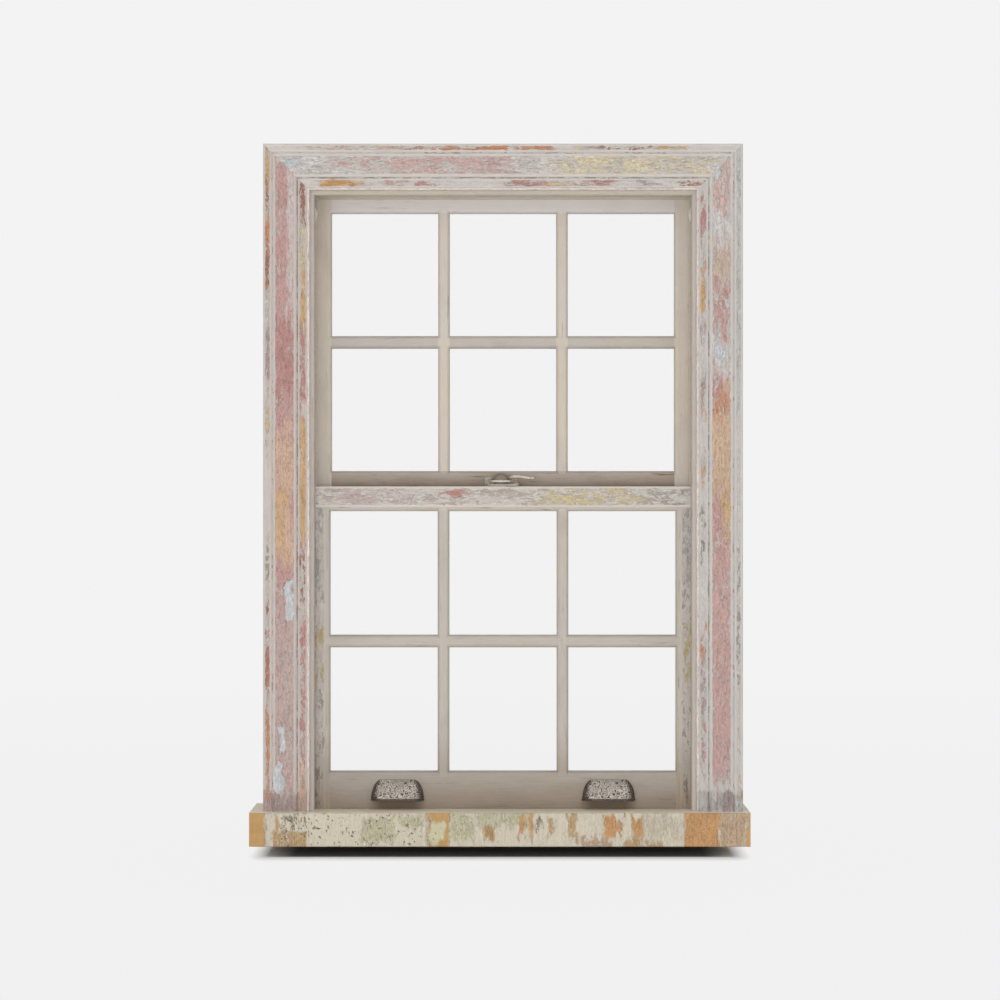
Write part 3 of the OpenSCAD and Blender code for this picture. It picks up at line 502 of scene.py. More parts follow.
# Casing
# Three mitred softwood boards round the opening on the room side, each run with an outer band, a crowned
# field and a beaded inner edge. Many coats of old paint on them have cracked and come away in flakes.
casing_out = 457.5
casing_top = 1338.5
casing_w = 88.0
casing_t = 22.0
band_face = 18.0
band_w = 15.0
band_cut = 1.2
field_from = 20.0
field_w = 41.5
crown_drop = 1.2
inner_from = 66.5
inner_face = 16.0
bead_r = 2.3
casing_step = 0.95
casing_stride = 2.0
casing_foot_shade = (150, 64)


def casing_line():
    """The casing's section as across and depth, from its outer back corner round to its inner one."""
    k = np.linspace(0, 1, 25)
    crown = list(zip(field_from + field_w * k, -casing_t + crown_drop * (2 * k - 1) ** 2))
    half_turn = np.radians(np.linspace(0, 180, 13))
    bead = list(zip(casing_w - bead_r - bead_r * np.cos(half_turn), -inner_face - bead_r * np.sin(half_turn)))
    band = [(0, 0), (0, -band_face + band_cut), (band_cut, -band_face), (band_w, -band_face)]
    return band + crown + [(inner_from, -inner_face)] + bead + [(casing_w, 0)]


def casing_board(name, side, patches, whites, seed):
    """The casing's section carried from mitre to mitre, its face raised and sunk by the flaking paint.
    side is left, right or head, u runs in from the outer edge and v along the board, in millimetres."""
    def down_board(share, across):
        """The place along the board: from mitre to mitre on the head, and else from the sill up."""
        if side == "head":
            return (2 * share - 1) * (casing_out - across)
        return sill_top + share * (casing_top - across - sill_top)

    line, out = walk(casing_line(), casing_step)
    reach = 2 * casing_out if side == "head" else casing_top - sill_top
    t, u = np.meshgrid(np.linspace(0, 1, int(reach / casing_stride)), line[:, 0], indexing="ij")
    v = down_board(t, u)
    depth = np.broadcast_to(line[:, 1], u.shape)
    on_band = smooth(1.5, 5.5, u) * smooth(14.5, 10.5, u)
    on_field = smooth(20.5, 26.0, u) * smooth(61.0, 56.0, u)
    on_inner = smooth(67.0, 70.5, u) * smooth(83.0, 79.5, u)
    flats = np.maximum(np.maximum(on_band, on_field), on_inner)
    under, wear, height = aged_coats(u, v, patches, flats, (9, 55), (7, 30), seed)
    # Painted highlight: the rounded edge of the bead is given a pale coat, bared by wear of the top coat.
    rubbed = smooth(83.2, 84.2, u)
    under = lerp(under, srgb(240, 228, 219), rubbed)
    # Painted shade: thin dark lines along the two steps of the section, where their shadow falls.
    step_shade = smooth(62.6, 64.2, u) * smooth(67.2, 65.6, u)
    step_shade = step_shade + 0.6 * smooth(15.0, 16.5, u) * smooth(20.5, 19.0, u)
    under = lerp(under, srgb(158, 145, 137), np.minimum(1.4 * step_shade, 1))
    wear = np.maximum(wear, np.maximum(0.95 * rubbed, 0.56 * step_shade))
    filler = np.zeros(u.shape)
    for k, box in enumerate(whites):
        dab = torn_patch(u, v, box[:2], box[2:], (7, 22), (6, 14), seed + 500 + k)
        filler = np.maximum(filler, dab)
    # The side boards' paint is darkened towards the sill as painted shade, and its top coat wears off more
    # there.
    if side != "head":
        grime_and_shade = smooth(*casing_foot_shade, v)
        under = under * (1 - 0.25 * grime_and_shade)[..., None]
        ragged = grime_and_shade + 0.3 * (mottle(u, v, 9, 20, seed + 700) - 0.5)
        wear = np.maximum(wear, 0.9 * smooth(0.3, 0.8, ragged))
    height = height + filler * (0.1 + 0.5 * mottle(u, v, 3, 8, seed + 600))
    lift = height * smooth(-9.0, -14.0, depth)
    across = u + out[:, 0] * lift
    depth = depth + out[:, 1] * lift
    back = np.array([60.0, 30.0])
    back_v = down_board(t[:, :2], back)
    across = np.concatenate([across, np.broadcast_to(back, back_v.shape)], 1)
    v = np.concatenate([v, back_v], 1)
    depth = np.concatenate([depth, np.zeros(back_v.shape)], 1)
    under = np.concatenate([under, np.zeros(back_v.shape + (3,)) + srgb(178, 146, 108)], 1)
    wear = np.concatenate([wear, np.full(back_v.shape, 1.5)], 1)
    fields = {"under": under, "wear": wear, "filler": np.concatenate([filler, np.zeros(back_v.shape)], 1)}
    if side == "left":
        points = np.stack([across - casing_out, depth, v], -1)
    elif side == "right":
        points = np.stack([casing_out - across, depth, v], -1)[:, ::-1]
        fields = {key: f[:, ::-1] for key, f in fields.items()}
    else:
        points = np.stack([v, depth, casing_top - across], -1)
    return grid_mesh(name, points / 1000, fields)


whole = (-5, 95)
outer = (0, 15)
field = (20, 62)
inner = (66, 84)
pink = (200, 156, 149)
rose = (190, 138, 131)
blush = (200, 172, 165)
mauve = (172, 152, 150)
peach = (212, 176, 151)
amber = (210, 171, 120)
straw = (214, 199, 162)
chalk = (207, 205, 202)
umber = (160, 110, 92)
orange = (202, 136, 92)
left_patches = [
    (*whole, 0, 1400, blush, 0.30),
    (*field, 110, 1310, pink, 0.80),
    (*field, 60, 100, mauve, 0.15),
    (*field, 100, 430, blush, 0.74),
    (46, 62, 960, 1280, (214, 196, 192), 0.78),
    (*field, 860, 1000, rose, 0.86),
    (20, 56, 545, 790, peach, 0.90),
    (22, 44, 560, 670, (212, 172, 128), 0.95),
    (*inner, 1140, 1330, umber, 0.52),
    (*inner, 1105, 1180, straw, 0.66),
    (*inner, 975, 1085, amber, 0.80),
    (*inner, 830, 980, rose, 0.60),
    (*inner, 563, 815, amber, 0.80),
    (*inner, 440, 560, umber, 0.50),
    (*inner, 150, 440, rose, 0.52),
    (*inner, 85, 160, peach, 0.75),
    (*outer, 1200, 1330, amber, 0.72),
    (*outer, 1215, 1250, umber, 0.60),
    (*outer, 1040, 1200, orange, 0.72),
    (*outer, 1090, 1120, umber, 0.62),
    (*outer, 985, 1040, chalk, 0.7),
    (*outer, 895, 985, mauve, 0.55),
    (*outer, 735, 860, (196, 172, 124), 0.50),
    (*outer, 600, 735, chalk, 0.12),
    (*outer, 516, 600, (152, 148, 128), 0.4),
    (*outer, 390, 490, umber, 0.54),
    (*outer, 277, 390, (184, 122, 94), 0.64),
    (*outer, 106, 250, orange, 0.62),
]
left_whites = [(42, 58, 430, 508), (30, 42, 186, 218), (22, 38, 100, 160)]
right_patches = [
    (*whole, 0, 1400, chalk, 0.32),
    (*field, 110, 1310, (204, 165, 158), 0.74),
    (*field, 60, 105, mauve, 0.15),
    (*field, 1200, 1320, (212, 184, 175), 0.62),
    (*field, 1130, 1215, (218, 214, 211), 0.75),
    (24, 62, 1065, 1145, (208, 184, 164), 0.66),
    (*field, 955, 1065, (202, 158, 151), 0.62),
    (*field, 885, 965, (218, 214, 211), 0.72),
    (36, 62, 850, 900, rose, 0.66),
    (22, 40, 850, 900, peach, 0.75),
    (*field, 810, 850, orange, 0.62),
    (*field, 665, 820, (212, 180, 149), 0.92),
    (20, 40, 570, 665, amber, 0.74),
    (40, 62, 570, 665, pink, 0.74),
    (*inner, 1150, 1240, rose, 0.62),
    (*inner, 1080, 1150, (196, 150, 124), 0.5),
    (*inner, 1000, 1080, amber, 0.62),
    (*inner, 960, 1000, mauve, 0.55),
    (*inner, 845, 900, mauve, 0.5),
    (*inner, 810, 850, peach, 0.6),
    (*inner, 690, 740, amber, 0.55),
    (*inner, 540, 625, (140, 136, 124), 0.4),
    (*inner, 335, 405, orange, 0.60),
    (*inner, 240, 335, mauve, 0.52),
    (*inner, 140, 240, rose, 0.5),
    (*outer, 800, 1330, (196, 198, 196), 0.62),
    (*outer, 560, 800, chalk, 0.45),
    (*outer, 280, 560, (160, 153, 138), 0.45),
    (*outer, 100, 280, (190, 164, 120), 0.36),
]
right_whites = [(30, 52, 928, 950), (40, 54, 1272, 1296)]
head_patches = [
    (*whole, -500, 500, chalk, 0.32),
    (*field, -430, 430, (222, 217, 212), 0.70),
    (24, 52, -310, -190, (206, 166, 159), 0.48),
    (26, 60, -230, 90, (208, 172, 166), 0.56),
    (*field, 20, 118, (220, 213, 208), 0.70),
    (*field, 118, 410, (222, 208, 178), 0.58),
    (*outer, -370, -190, peach, 0.52),
    (*outer, -190, -130, umber, 0.50),
    (*outer, -130, 100, orange, 0.56),
    (*outer, 130, 168, straw, 0.6),
    (*outer, 170, 285, umber, 0.50),
    (*outer, 288, 375, amber, 0.56),
    (*inner, -360, -262, (212, 156, 88), 0.80),
    (*inner, -250, -195, pink, 0.55),
    (*inner, -195, -120, rose, 0.45),
    (*inner, -10, 98, rose, 0.58),
    (*inner, 98, 155, straw, 0.5),
    (*inner, 155, 232, rose, 0.58),
    (*inner, 255, 290, mauve, 0.5),
    (*inner, 335, 385, umber, 0.45),
]
head_whites = [(30, 46, -418, -392)]
for hand, along, top, patches, whites, seed in (
        ("left", "z", (198, 188, 181), left_patches, left_whites, 1000),
        ("right", "z", (202, 196, 191), right_patches, right_whites, 2000),
        ("head", "x", (208, 201, 194), head_patches, head_whites, 3000)):
    board = casing_board(f"old_casing_{hand}", hand, patches, whites, seed)
    board.data.materials.append(board_film(f"casing_{hand}_paint", along, top))
    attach(board, "frame")
    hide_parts(f"casing_{hand}")


# Beads
# Stop beads are nailed round the opening and hold the lower sash in; parting beads part the two sashes.
# They are slips of softwood under the same greige paint as the frame, rubbed by the sashes.
dress(both("stop_bead", "parting_bead"),
      brushed_paint("bead_greige_z", "z", (197, 189, 184), (171, 161, 153), (202, 193, 182), crack=0.35))
dress(["stop_bead_head", "parting_bead_head"],
      brushed_paint("bead_greige_x", "x", (198, 190, 178), (172, 161, 146), (202, 193, 174), crack=0.35))


# Pulleys
# Cast wheels turn on steel pins in flanged cases let into the pulley stiles, one for each sash cord.
# The wheels are a pale ivory, partly painted light against the shade of the boxes, and paint and rust have
# dulled the cases.
def old_cast_metal(name, pale, dark, metal, rough):
    """Old cast metal: a dull skin, darker in its pores and paler where it is rubbed."""
    finish, tree, skin = new_finish(name)
    at = grain_at(tree)
    pores = noise(tree, at, 420.0, 5.0, 0.62)
    cloud = noise(tree, at, 55.0, 4.0, 0.6)
    colour = mix(tree, spread(tree, pores, 0.22, 0.62), dark, pale)
    colour = mix(tree, spread(tree, cloud, 0.45, 0.7, 0.0, 0.6), colour, dark)
    dull = spread(tree, pores, 0.3, 0.7, rough + 0.12, rough - 0.08)
    coat(tree, skin, colour, dull, pores, 0.35, 0.0004, metal)
    return finish


dress(both("pulley_lower", "pulley_upper"),
      old_cast_metal("wheel_cast", (244, 237, 224), (206, 196, 180), metal=0.0, rough=0.45))
dress(["pulley_cases", "pulley_axles"],
      old_cast_metal("case_cast", (150, 138, 122), (96, 80, 66), metal=0.35, rough=0.6))
screw_sunk = 0.8


def screw_head(name, centre, out, right, radius, dome, turn, finish, body):
    """A slotted screw head: rings that shrink from its rim to its middle, standing on a shallow dome, with a
    straight slot sunk across it. centre, radius and dome are in millimetres."""
    ring = np.concatenate([[1.0], np.linspace(1.0, 0.02, 22)])
    angle = np.linspace(0, 2 * np.pi, 49)[:-1]
    flat_x = radius * ring[:, None] * np.cos(angle)[None]
    flat_y = radius * ring[:, None] * np.sin(angle)[None]
    slot_line = np.abs(flat_x * np.sin(turn) - flat_y * np.cos(turn))
    slot = 0.5 * radius / 3 * smooth(0.17 * radius, 0.10 * radius, slot_line)
    high = dome * (1 - ring[:, None] ** 2) - slot
    high[0] = -screw_sunk
    out = np.array(out, float)
    right = np.array(right, float)
    points = np.array(centre, float) + flat_x[..., None] * right + flat_y[..., None] * np.cross(out, right) \
        + high[..., None] * out
    head = grid_mesh(name, points / 1000, {})
    head.data.materials.append(finish)
    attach(head, body)


screw_steel = old_cast_metal("screw_steel", (168, 158, 146), (104, 92, 80), metal=0.55, rough=0.45)
plate_x = 369.5
plate_screw_z = 31.0
plate_screw_r = 3.2
plate_screw_dome = 0.25
wheel_z = 1209.5
hands = (("left", -1), ("right", 1))
tracks = (("lower", 50.5), ("upper", 99.5))
for hand, side in hands:
    for row, track in tracks:
        for spot, way in (("top", 1), ("bottom", -1)):
            centre = (side * plate_x, track, wheel_z + way * plate_screw_z)
            screw_head(f"pulley_screw_{row}_{hand}_{spot}", centre, (-side, 0, 0), (0, 1, 0), plate_screw_r,
                       plate_screw_dome, 0.9 + side + way, screw_steel, "frame")


# Sash weights
# Round bars of rough cast iron hang out of sight in the boxes, one on the end of each cord.
# They came from a sand mould and have rusted evenly.
dress(both("weight_lower", "weight_upper"),
      old_cast_metal("weight_cast", (112, 82, 66), (64, 50, 44), metal=0.3, rough=0.78))


# Sash cords
# Waxed cotton cord runs from a knot in each sash stile up over its pulley and down to its weight.
# It is laid from three strands, so its surface winds round it.
cord_r = 3.0
cord_step = 2.0
wheel_x = 384.5
cord_turn_r = 22.5
strands = 3
lay = 16.0
knot_levels = (505.1, 1069.1)
hang_levels = (1140.0, 499.0)


def laid_cord(name, path, finish):
    """A round section carried along a path in millimetres, its radius swelling over each winding strand."""
    step = np.gradient(path, axis=0)
    step /= np.linalg.norm(step, axis=1)[:, None]
    run = np.concatenate([[0], np.cumsum(np.linalg.norm(np.diff(path, axis=0), axis=1))])
    side = np.broadcast_to(np.array([0.0, 1.0, 0.0]), path.shape)
    other = np.cross(step, side)
    angle = np.linspace(0, 2 * np.pi, 19)[:-1]
    wind = angle[None] + 2 * np.pi * run[:, None] / lay
    swell = cord_r * (0.93 + 0.09 * np.abs(np.cos(strands / 2 * wind)))
    points = path[:, None] + swell[..., None] * (np.cos(angle)[None, :, None] * other[:, None]
                                                 + np.sin(angle)[None, :, None] * side[:, None])
    piece = grid_mesh(name, points / 1000, {}, soft=True)
    piece.data.materials.append(finish)
    return piece


def plumb(x, track, low):
    """A path straight down from the height of the wheel to a low level."""
    z = np.arange(wheel_z, low - 1, -cord_step)
    return np.stack([np.full(z.size, x), np.full(z.size, track), z], 1)


cord_finish, cord_tree, cord_skin = new_finish("cotton_cord")
cord_tone = spread(cord_tree, noise(cord_tree, grain_at(cord_tree), 700.0, 3.0), 0.35, 0.65)
cord_colour = mix(cord_tree, cord_tone, (176, 164, 142), (208, 198, 180))
feed(cord_tree, cord_skin, {"Base Color": cord_colour, "Roughness": 0.85})
bend = np.radians(np.linspace(180, 0, 46))
for (row, track), knot_z, hang_z in zip(tracks, knot_levels, hang_levels):
    for hand, side in hands:
        room_x = side * (wheel_x - cord_turn_r)
        box_x = side * (wheel_x + cord_turn_r)
        room = laid_cord(f"cord_{row}_{hand}_room_run", plumb(room_x, track, knot_z), cord_finish)
        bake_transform(room)
        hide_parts(f"cord_{row}_{hand}")
        over_x = side * (wheel_x + cord_turn_r * np.cos(bend))
        over_z = wheel_z + cord_turn_r * np.sin(bend)
        over = laid_cord(f"cord_{row}_{hand}_over_wheel",
                         np.stack([over_x, np.full(bend.size, track), over_z], 1), cord_finish)
        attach(over, "frame")
        box = laid_cord(f"cord_{row}_{hand}_box_run", plumb(box_x, track, hang_z), cord_finish)
        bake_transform(box)


# Sashes
# Two softwood sashes of stiles, rails and glazing bars, moulded on the room side, morticed and wedged.
# Their old paint has gone greige, with faint yellow and olive stains and hair cracks along the grain.
# The one greige comes in copies of different lightness as painted light and shade: paler on the upper sash
# and palest on its top rail, darker on the upper meeting rail and darkest on the bottom rail. Below the
# heights that follow, the lower stiles and the bottom rail darken as grime and painted shade, and the upper
# meeting rail as painted shade.
stile_grime_and_shade = (0.072, 0.215)
ledge_shade = (0.684, 0.716)
foot_shade_and_grime = (0.062, 0.130)
dress(both("upper_stile") + ["upper_upright_bars"],
      brushed_paint("upper_greige_z", "z", (207, 198, 190), (188, 176, 163), (209, 197, 178), 0.5))
dress(["upper_top_rail"],
      brushed_paint("upper_greige_x", "x", (214, 207, 204), (196, 187, 181), (211, 204, 198), 0.5))
dress(both("lower_stile") + ["lower_upright_bars"],
      brushed_paint("lower_greige_z", "z", (194, 186, 178), (166, 157, 148), (197, 185, 168), 0.7,
                    stile_grime_and_shade))
dress(["lower_cross_bars", "upper_cross_bars"],
      brushed_paint("lower_greige_x", "x", (192, 184, 177), (168, 159, 150), (195, 186, 172), 0.7))
dress(["lower_meeting_rail"],
      brushed_paint("meeting_greige_x", "x", (200, 192, 184), (172, 162, 152), (202, 192, 174), 1.0))
dress(["upper_meeting_rail", "upper_meeting_bead"],
      brushed_paint("ledge_greige_x", "x", (186, 174, 165), (156, 142, 131), (184, 169, 151), 0.8,
                    ledge_shade))
foot_paint = brushed_paint("foot_greige_x", "x", (176, 167, 159), (148, 138, 128), (174, 162, 146), 0.9,
                           foot_shade_and_grime)
dress(["lower_bottom_rail"], foot_paint)
sash_face = 31.5
stile_flat = (341.5, 367.0)
stile_run = (66.0, 644.0)
rail_flat = (646.0, 684.5)
rail_run = (-366.0, 366.0)
sash_film_sunk = 0.4
sash_film_least = 0.03
sash_film_base = 0.02
sash_film_share = 0.8
sash_step = 0.9
sash_stride = 1.5


def face_film(name, along, across, run, patches, finish, seed):
    """A flat face of the lower sash under old paint: a thin plate, across and run giving its two sides in
    millimetres, raised and sunk by the flaking coats. along is the way its grain runs."""
    rows = np.arange(run[0], run[1] + 0.1, sash_stride)
    columns = np.arange(across[0], across[1] + 0.1, sash_step)
    v, u = np.meshgrid(rows, columns, indexing="ij")
    edge = np.minimum(u - across[0], across[1] - u)
    under, wear, height = aged_coats(u, v, patches, smooth(0.0, 5.0, edge), (7, 40), (6, 26), seed)
    proud = np.maximum(sash_film_base + sash_film_share * height, sash_film_least) * smooth(0.0, 2.5, edge)
    face = np.stack([u, sash_face - proud, v], -1)
    back = np.stack([u, np.full(u.shape, sash_face + sash_film_sunk), v], -1)
    piece = film_mesh(name, face, back, under, wear, along == "x")
    piece.data.materials.append(finish)
    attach(piece, "lower_sash")


stile_wide = (300, 400)
rail_patches = [
    (600, 700, -400, 400, (184, 172, 163), 0.42),
    (646, 685, -340, -180, (200, 180, 175), 0.50),
    (662, 676, -112, -78, (204, 128, 112), 0.78),
    (646, 685, 70, 270, (210, 192, 150), 0.52),
    (650, 680, 280, 350, (168, 160, 152), 0.46),
]
stile_patches = [
    (*stile_wide, 0, 800, (158, 148, 137), 0.34),
    (*stile_wide, 300, 420, (184, 166, 120), 0.42),
    (*stile_wide, 480, 640, (166, 162, 158), 0.46),
]
face_film("meeting_rail_film", "x", rail_flat, rail_run, rail_patches,
          board_film("meeting_rail_paint", "x", (212, 205, 197)), 5000)
face_film("stile_film_right", "z", stile_flat, stile_run, stile_patches,
          board_film("stile_right_paint", "z", (195, 186, 177), grime_shade_levels=stile_grime_and_shade), 5200)
face_film("stile_film_left", "z", (-stile_flat[1], -stile_flat[0]), stile_run,
          [(-p[1], -p[0]) + p[2:] for p in stile_patches],
          board_film("stile_left_paint", "z", (195, 187, 179), grime_shade_levels=stile_grime_and_shade), 5100)


# Glass and putty
# Six panes of drawn sheet glass in each sash, bedded against the moulding and held by putty outside.
# The glass is clear and a little wavy. The putty has hardened under old paint.
glass_finish, glass_tree, glass_skin = new_finish("drawn_sheet_glass")
waves = noise(glass_tree, grain_at(glass_tree, "z", 0.5), 9.0, 2.0)
coat(glass_tree, glass_skin, (0.985, 0.99, 0.985, 1), 0.0, waves, 0.06, 0.002)
feed(glass_tree, glass_skin, {"IOR": 1.45, "Transmission Weight": 1.0})
lamp_ray = add(glass_tree, "ShaderNodeLightPath").outputs["Is Shadow Ray"]
clear = add(glass_tree, "ShaderNodeBsdfTransparent").outputs[0]
glass_mix = add(glass_tree, "ShaderNodeMixShader", {0: lamp_ray, 1: glass_skin.outputs[0], 2: clear})
glass_tree.links.new(glass_mix.outputs[0], glass_tree.nodes["Material Output"].inputs["Surface"])
dress(["upper_glass", "lower_glass"], glass_finish)
dress(["upper_putty", "lower_putty"],
      brushed_paint("old_putty", "z", (198, 190, 176), (160, 150, 134), (206, 198, 182), crack=0.6))


# Lifts and lock
# Two cast cup lifts are screwed to the bottom rail, and a cam lock stands on the meeting rails.
# All are dark pewter: the lifts carry a leaf scroll in low relief, black in its hollows and rubbed on top.
lift_centre_x = 203.0
lift_foot_z = 81.3
lift_face_y = 31.5
lift_half_flat = 30.0
lift_reach = 21.0
lift_high = 40.0
lift_wall = 2.0
lift_lip = 1.6
lift_relief = 1.1
lift_pits = 0.18
lift_ground = 0.9


def leaf_relief(x, z):
    """Height of the scroll from 0 to 1: the level lines of a slow random field, spaced evenly and rounded,
    which curl round its hills and hollows as rolled leaves and tendrils, with finer veins on top."""
    hills = mottle(x, z, 8.5, 7.0, 211, 2) + 0.035 * np.sin(0.55 * x) * np.cos(0.6 * z)
    tendril = np.abs(np.sin(2 * np.pi * 3.1 * hills))
    vein = np.abs(np.sin(2 * np.pi * 2.2 * mottle(x, z, 3.6, 3.2, 223, 2)))
    return smooth(0.16, 0.78, tendril) * (0.6 + 0.4 * smooth(0.1, 0.6, vein))


def cup_lift(name, side):
    """A cup whose section is a quarter ellipse, run straight across its front and turned round at both ends.
    The outer skin carries the scroll, and the skin closes over the lip on to a plain hollow inside."""
    ends = lift_reach * np.pi / 2
    along = np.linspace(-lift_half_flat - ends, lift_half_flat + ends, 261)
    even = np.ones(along.shape)[None]
    rise = np.radians(np.linspace(0.0, 89.0, 91))
    inner_rise = np.radians(np.linspace(88.0, 0.0, 24))
    core = np.clip(along, -lift_half_flat, lift_half_flat)
    swing = (along - core) / lift_reach
    out_x = np.sin(swing)
    out_y = -np.cos(swing)
    girth = lift_high * np.sin(rise)
    developed_x = core[None] + (along - core)[None] * np.maximum(np.cos(rise), 0.25)[:, None]
    developed_z = np.broadcast_to(girth[:, None], developed_x.shape)
    inset = smooth(0.0, 4.0, ends + lift_half_flat - np.abs(along))[None]
    frame_band = smooth(3.4, 4.6, girth)[:, None] * inset
    top_band = smooth(0.997, 0.975, np.sin(rise))[:, None]
    pattern = leaf_relief(developed_x, developed_z) * frame_band * top_band
    rim = lift_lip * smooth(3.2, 1.6, girth)[:, None] * even
    pits = lift_pits * mottle(developed_x, developed_z, 2.2, 2.2, 77)
    proud = lift_relief * pattern + rim + pits * (1 - 0.5 * pattern) - lift_ground
    normal_flat = np.cos(rise) * lift_high
    normal_up = np.sin(rise) * lift_reach
    length = np.hypot(normal_flat, normal_up)
    flat = (lift_reach * np.cos(rise))[:, None] + proud * (normal_flat / length)[:, None]
    high = (lift_high * np.sin(rise))[:, None] + proud * (normal_up / length)[:, None]
    high = np.maximum(high, 0.0)
    inner_flat = ((lift_reach - lift_wall) * np.cos(inner_rise))[:, None] * even
    inner_high = ((lift_high - lift_wall) * np.sin(inner_rise))[:, None] * even
    flat = np.concatenate([flat, inner_flat])
    high = np.concatenate([high, inner_high])
    points = np.stack([side * lift_centre_x + core + flat * out_x, lift_face_y + flat * out_y,
                       lift_foot_z + high], axis=-1)
    points[..., 1] = np.minimum(points[..., 1], lift_face_y)
    # Painted shade: the relief is darkened round the cup's turned ends, where its sides curve away.
    turned = 0.85 * smooth(0.12, 0.95, np.abs(swing))[None] * np.ones(rise.shape)[:, None]
    ridges = np.maximum(pattern, 0.05 * rim / lift_lip) - turned
    raised = np.concatenate([ridges, np.zeros(inner_flat.shape) - 0.2])
    return grid_mesh(name, points.transpose(1, 0, 2) / 1000, {"raised": raised.T.copy()}, soft=True)


def worn_pewter(name):
    """Pewter that is black in the hollows of its relief and rubbed pale on the ridges."""
    finish, tree, skin = new_finish(name)
    at = grain_at(tree)
    grit = noise(tree, at, 620.0, 5.0, 0.65)
    cloud = noise(tree, at, 70.0, 4.0, 0.6)
    rubbed = math_node(tree, "ADD", field_of(tree, "raised"), spread(tree, grit, 0.3, 0.7, -0.22, 0.22))
    colour = mix(tree, spread(tree, rubbed, 0.0, 0.72), (80, 70, 62), (202, 193, 183))
    colour = mix(tree, spread(tree, cloud, 0.45, 0.75, 0.0, 0.4), colour, (120, 110, 100))
    dull = spread(tree, rubbed, 0.0, 0.9, 0.62, 0.34)
    coat(tree, skin, colour, dull, grit, 0.3, 0.0003, pewter_metal)
    return finish


pewter_metal = 0.55
pewter_scroll = worn_pewter("pewter_scroll")
for hand, side in hands:
    lift = cup_lift(f"scroll_lift_{hand}", side)
    lift.data.materials.append(pewter_scroll)
    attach(lift, "lower_sash")
    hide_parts(f"lift_{hand}")
shade_aside = (0.032, 0.058)
shade_level = (0.075, 0.087)


def shade_under_lifts(finish):
    """Painted shadow on the rail under each lift, fading out sideways from its middle and up round its foot.
    """
    tree = finish.node_tree
    skin = tree.nodes["Principled BSDF"]
    painted = skin.inputs["Base Color"].links[0].from_socket
    place = add(tree, "ShaderNodeSeparateXYZ", {0: grain_at(tree)}).outputs
    aside = math_node(tree, "SUBTRACT", math_node(tree, "ABSOLUTE", place[0]), lift_centre_x / 1000)
    across = spread(tree, math_node(tree, "ABSOLUTE", aside), *shade_aside, 0.85, 0.0)
    below = spread(tree, place[2], *shade_level, 1.0, 0.0)
    shaded = mix(tree, 1.0, painted, (176, 158, 134), "MULTIPLY")
    feed(tree, skin, {"Base Color": mix(tree, times(tree, across, below), painted, shaded)})


# Painted shadow under the lifts, on the bottom rail's paint.
shade_under_lifts(foot_paint)
dress(["lock_base", "lock_keeper"],
      old_cast_metal("old_pewter", (196, 186, 175), (140, 129, 119), metal=pewter_metal, rough=0.40))


def vector_step(tree, operation, a, b=(0, 0, 0), output="Vector"):
    """One arithmetic step on vectors."""
    return add(tree, "ShaderNodeVectorMath", {0: a, 1: b}, operation=operation).outputs[output]


def rubbed_lever(name, pivot, boss):
    """The lever's pewter: dark round its domed boss, and rubbed pale out along the handle by fingers. pivot
    is the middle of the boss and boss its radius, in metres."""
    finish, tree, skin = new_finish(name)
    at = grain_at(tree)
    off = vector_step(tree, "MULTIPLY", vector_step(tree, "SUBTRACT", at, pivot), (1, 1, 0))
    reach = vector_step(tree, "LENGTH", off, output="Value")
    cloud = noise(tree, at, 160.0, 4.0, 0.6)
    ragged = math_node(tree, "ADD", reach, spread(tree, cloud, 0.3, 0.7, -0.003, 0.003))
    handled = spread(tree, ragged, boss, boss + 0.008)
    colour = mix(tree, handled, (144, 129, 118), (212, 202, 191))
    colour = mix(tree, spread(tree, cloud, 0.5, 0.72, 0.0, 0.55), colour, (86, 74, 66))
    dull = spread(tree, cloud, 0.3, 0.7, 0.34, 0.52)
    coat(tree, skin, colour, dull, cloud, 0.2, 0.0003, pewter_metal)
    return finish


lock_pivot = (-0.004, 0.054, 0.7)
lock_boss_r = 0.0165
lock_screw_x = 27.0
lock_screw_y = 54.0
lock_screw_z = 690.1
lock_screw_r = 4.2
lock_screw_dome = 2.2
dress(["lock_lever"], rubbed_lever("lever_pewter", lock_pivot, lock_boss_r))
bright_steel = old_cast_metal("bright_steel", (240, 232, 222), (190, 178, 166), metal=0.4, rough=0.36)
for spot, side in hands:
    screw_head(f"lock_screw_{spot}", (side * lock_screw_x, lock_screw_y, lock_screw_z), (0, 0, 1), (1, 0, 0),
               lock_screw_r, lock_screw_dome, 0.5 + side, bright_steel, "lower_sash")


# Studio
# A pale floor and backdrop, light from all round with more of it from low in front, and a level camera.
# Close under the sill the floor's colour is darkened as painted shade; it keeps the window's shadow,
# and pales to the backdrop further off.
def seen_ray(tree):
    """1 for what the camera sees, through glass or in a gloss too, and 0 for light on its way."""
    ray = add(tree, "ShaderNodeLightPath").outputs
    seen = math_node(tree, "MAXIMUM", ray["Is Camera Ray"], ray["Is Transmission Ray"])
    return math_node(tree, "MAXIMUM", seen, ray["Is Glossy Ray"])


backdrop_level = 0.895
backdrop = bpy.data.worlds.new("studio_air")
bpy.context.scene.world = backdrop
backdrop.use_nodes = True
air = backdrop.node_tree
way = add(air, "ShaderNodeSeparateXYZ", {0: add(air, "ShaderNodeTexCoord").outputs["Generated"]})
lit = grey(air, spread(air, way.outputs[2], 0.0, 1.0, 0.80, 0.48))
glow = mix(air, seen_ray(air), lit, (backdrop_level, backdrop_level, backdrop_level, 1))
air.links.new(glow, air.nodes["Background"].inputs["Color"])

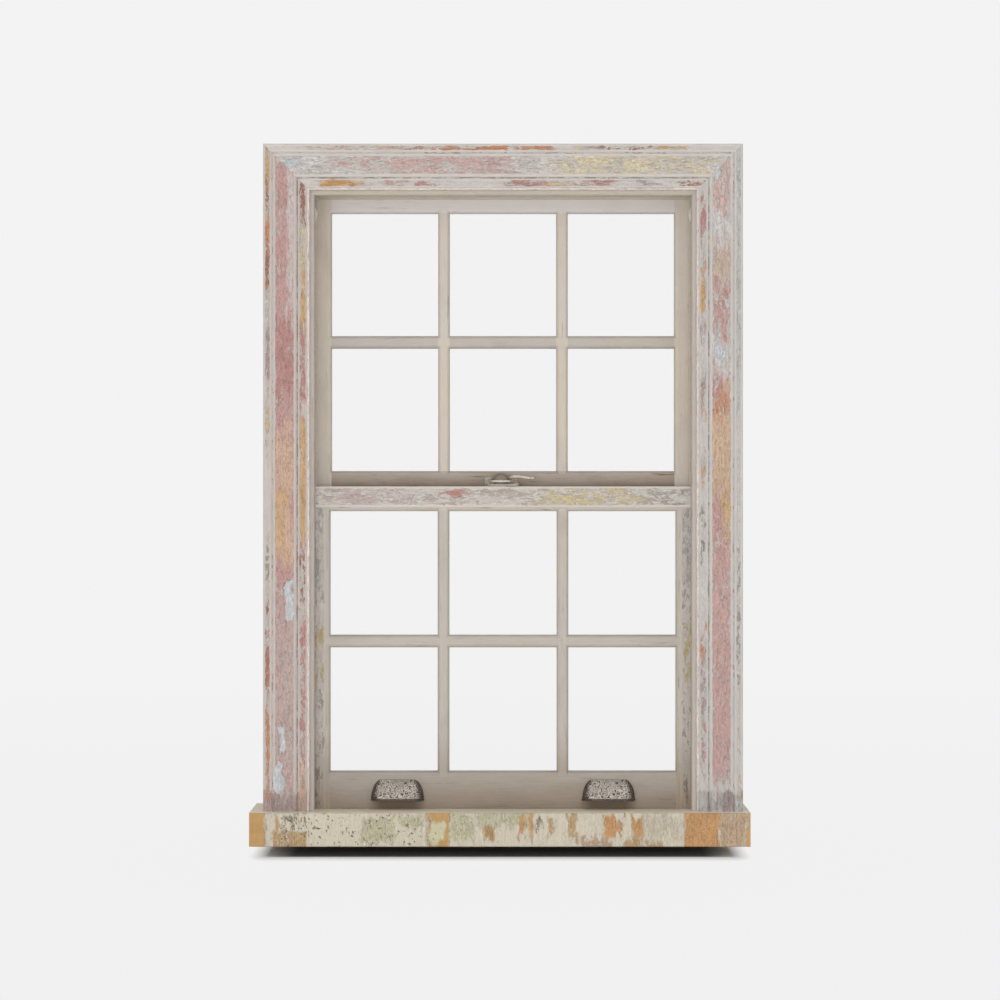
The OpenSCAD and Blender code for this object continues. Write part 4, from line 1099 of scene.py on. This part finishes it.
floor_z = -0.019
reach = 12.0
floor_mesh = bpy.data.meshes.new("floor")
floor_mesh.from_pydata([(-reach, -reach, floor_z), (reach, -reach, floor_z), (reach, reach, floor_z),
                        (-reach, reach, floor_z)], [], [(0, 1, 2, 3)])
floor = put("floor", floor_mesh)
floor_finish, floor_tree, floor_skin = new_finish("floor_white")
floor_place = add(floor_tree, "ShaderNodeTexCoord").outputs["Object"]
floor_middle = (-0.006, 0.065, floor_z)


def off_block(half, stretch):
    """How far a floor point lies outside a level block under the sill, each side at its own scale."""
    off = vector_step(floor_tree, "SUBTRACT", floor_place, floor_middle)
    off = vector_step(floor_tree, "SUBTRACT", vector_step(floor_tree, "ABSOLUTE", off), half)
    off = vector_step(floor_tree, "MULTIPLY", vector_step(floor_tree, "MAXIMUM", off), stretch)
    return vector_step(floor_tree, "LENGTH", off, output="Value")


away = off_block((0.440, 0.100, 0.0), (2.0, 1.0, 1.0))
far = times(floor_tree, spread(floor_tree, away, 0.002, 0.075), seen_ray(floor_tree))
# Painted shade: the floor's own colour darkens close under the sill.
shade = spread(floor_tree, off_block((0.390, 0.099, 0.0), (0.2, 1.0, 1.0)), 0.0, 0.014, 0.18, 0.88)
feed(floor_tree, floor_skin,
     {"Base Color": grey(floor_tree, shade), "Roughness": 0.9, "Specular IOR Level": 0.0})
distance = vector_step(floor_tree, "LENGTH", floor_place, output="Value")
horizon = spread(floor_tree, distance, 0.6, 5.0, 0.872, backdrop_level)
pale_glow = add(floor_tree, "ShaderNodeEmission", {"Color": (1, 1, 1, 1), "Strength": horizon}).outputs[0]
floor_mix = add(floor_tree, "ShaderNodeMixShader", {0: far, 1: floor_skin.outputs[0], 2: pale_glow})
floor_tree.links.new(floor_mix.outputs[0], floor_tree.nodes["Material Output"].inputs["Surface"])
floor_mesh.materials.append(floor_finish)


def soft_lamp(name, place, target, size, power):
    """An area lamp of a width and a height turned to a target, and not seen itself."""
    lamp = bpy.data.lights.new(name, "AREA")
    lamp.shape = "RECTANGLE"
    lamp.size, lamp.size_y = size
    lamp.energy = power
    holder = put(name, lamp)
    holder.location = place
    aim = np.array(target, float) - np.array(place, float)
    flat = math.hypot(aim[0], aim[1])
    holder.rotation_euler = (math.atan2(flat, -aim[2]), 0, math.atan2(-aim[0], aim[1]))
    holder.visible_camera = False
    holder.visible_glossy = False
    holder.visible_transmission = False


soft_lamp("front_lamp", place=(-0.5, -4.4, 0.6), target=(0, 0, 0.8), size=(3.0, 1.6), power=69)
soft_lamp("bounce_lamp", place=(0.0, -1.5, 0.03), target=(0, 0.2, 1.0), size=(3.4, 1.4), power=8)

lens = bpy.data.cameras.new("camera")
lens.lens = 104.25
lens.sensor_width = 36
camera = put("camera", lens)
camera.location = (-0.0058, -5.542, 0.6589)
camera.rotation_euler = (math.radians(90), 0, 0)
bpy.context.scene.camera = camera
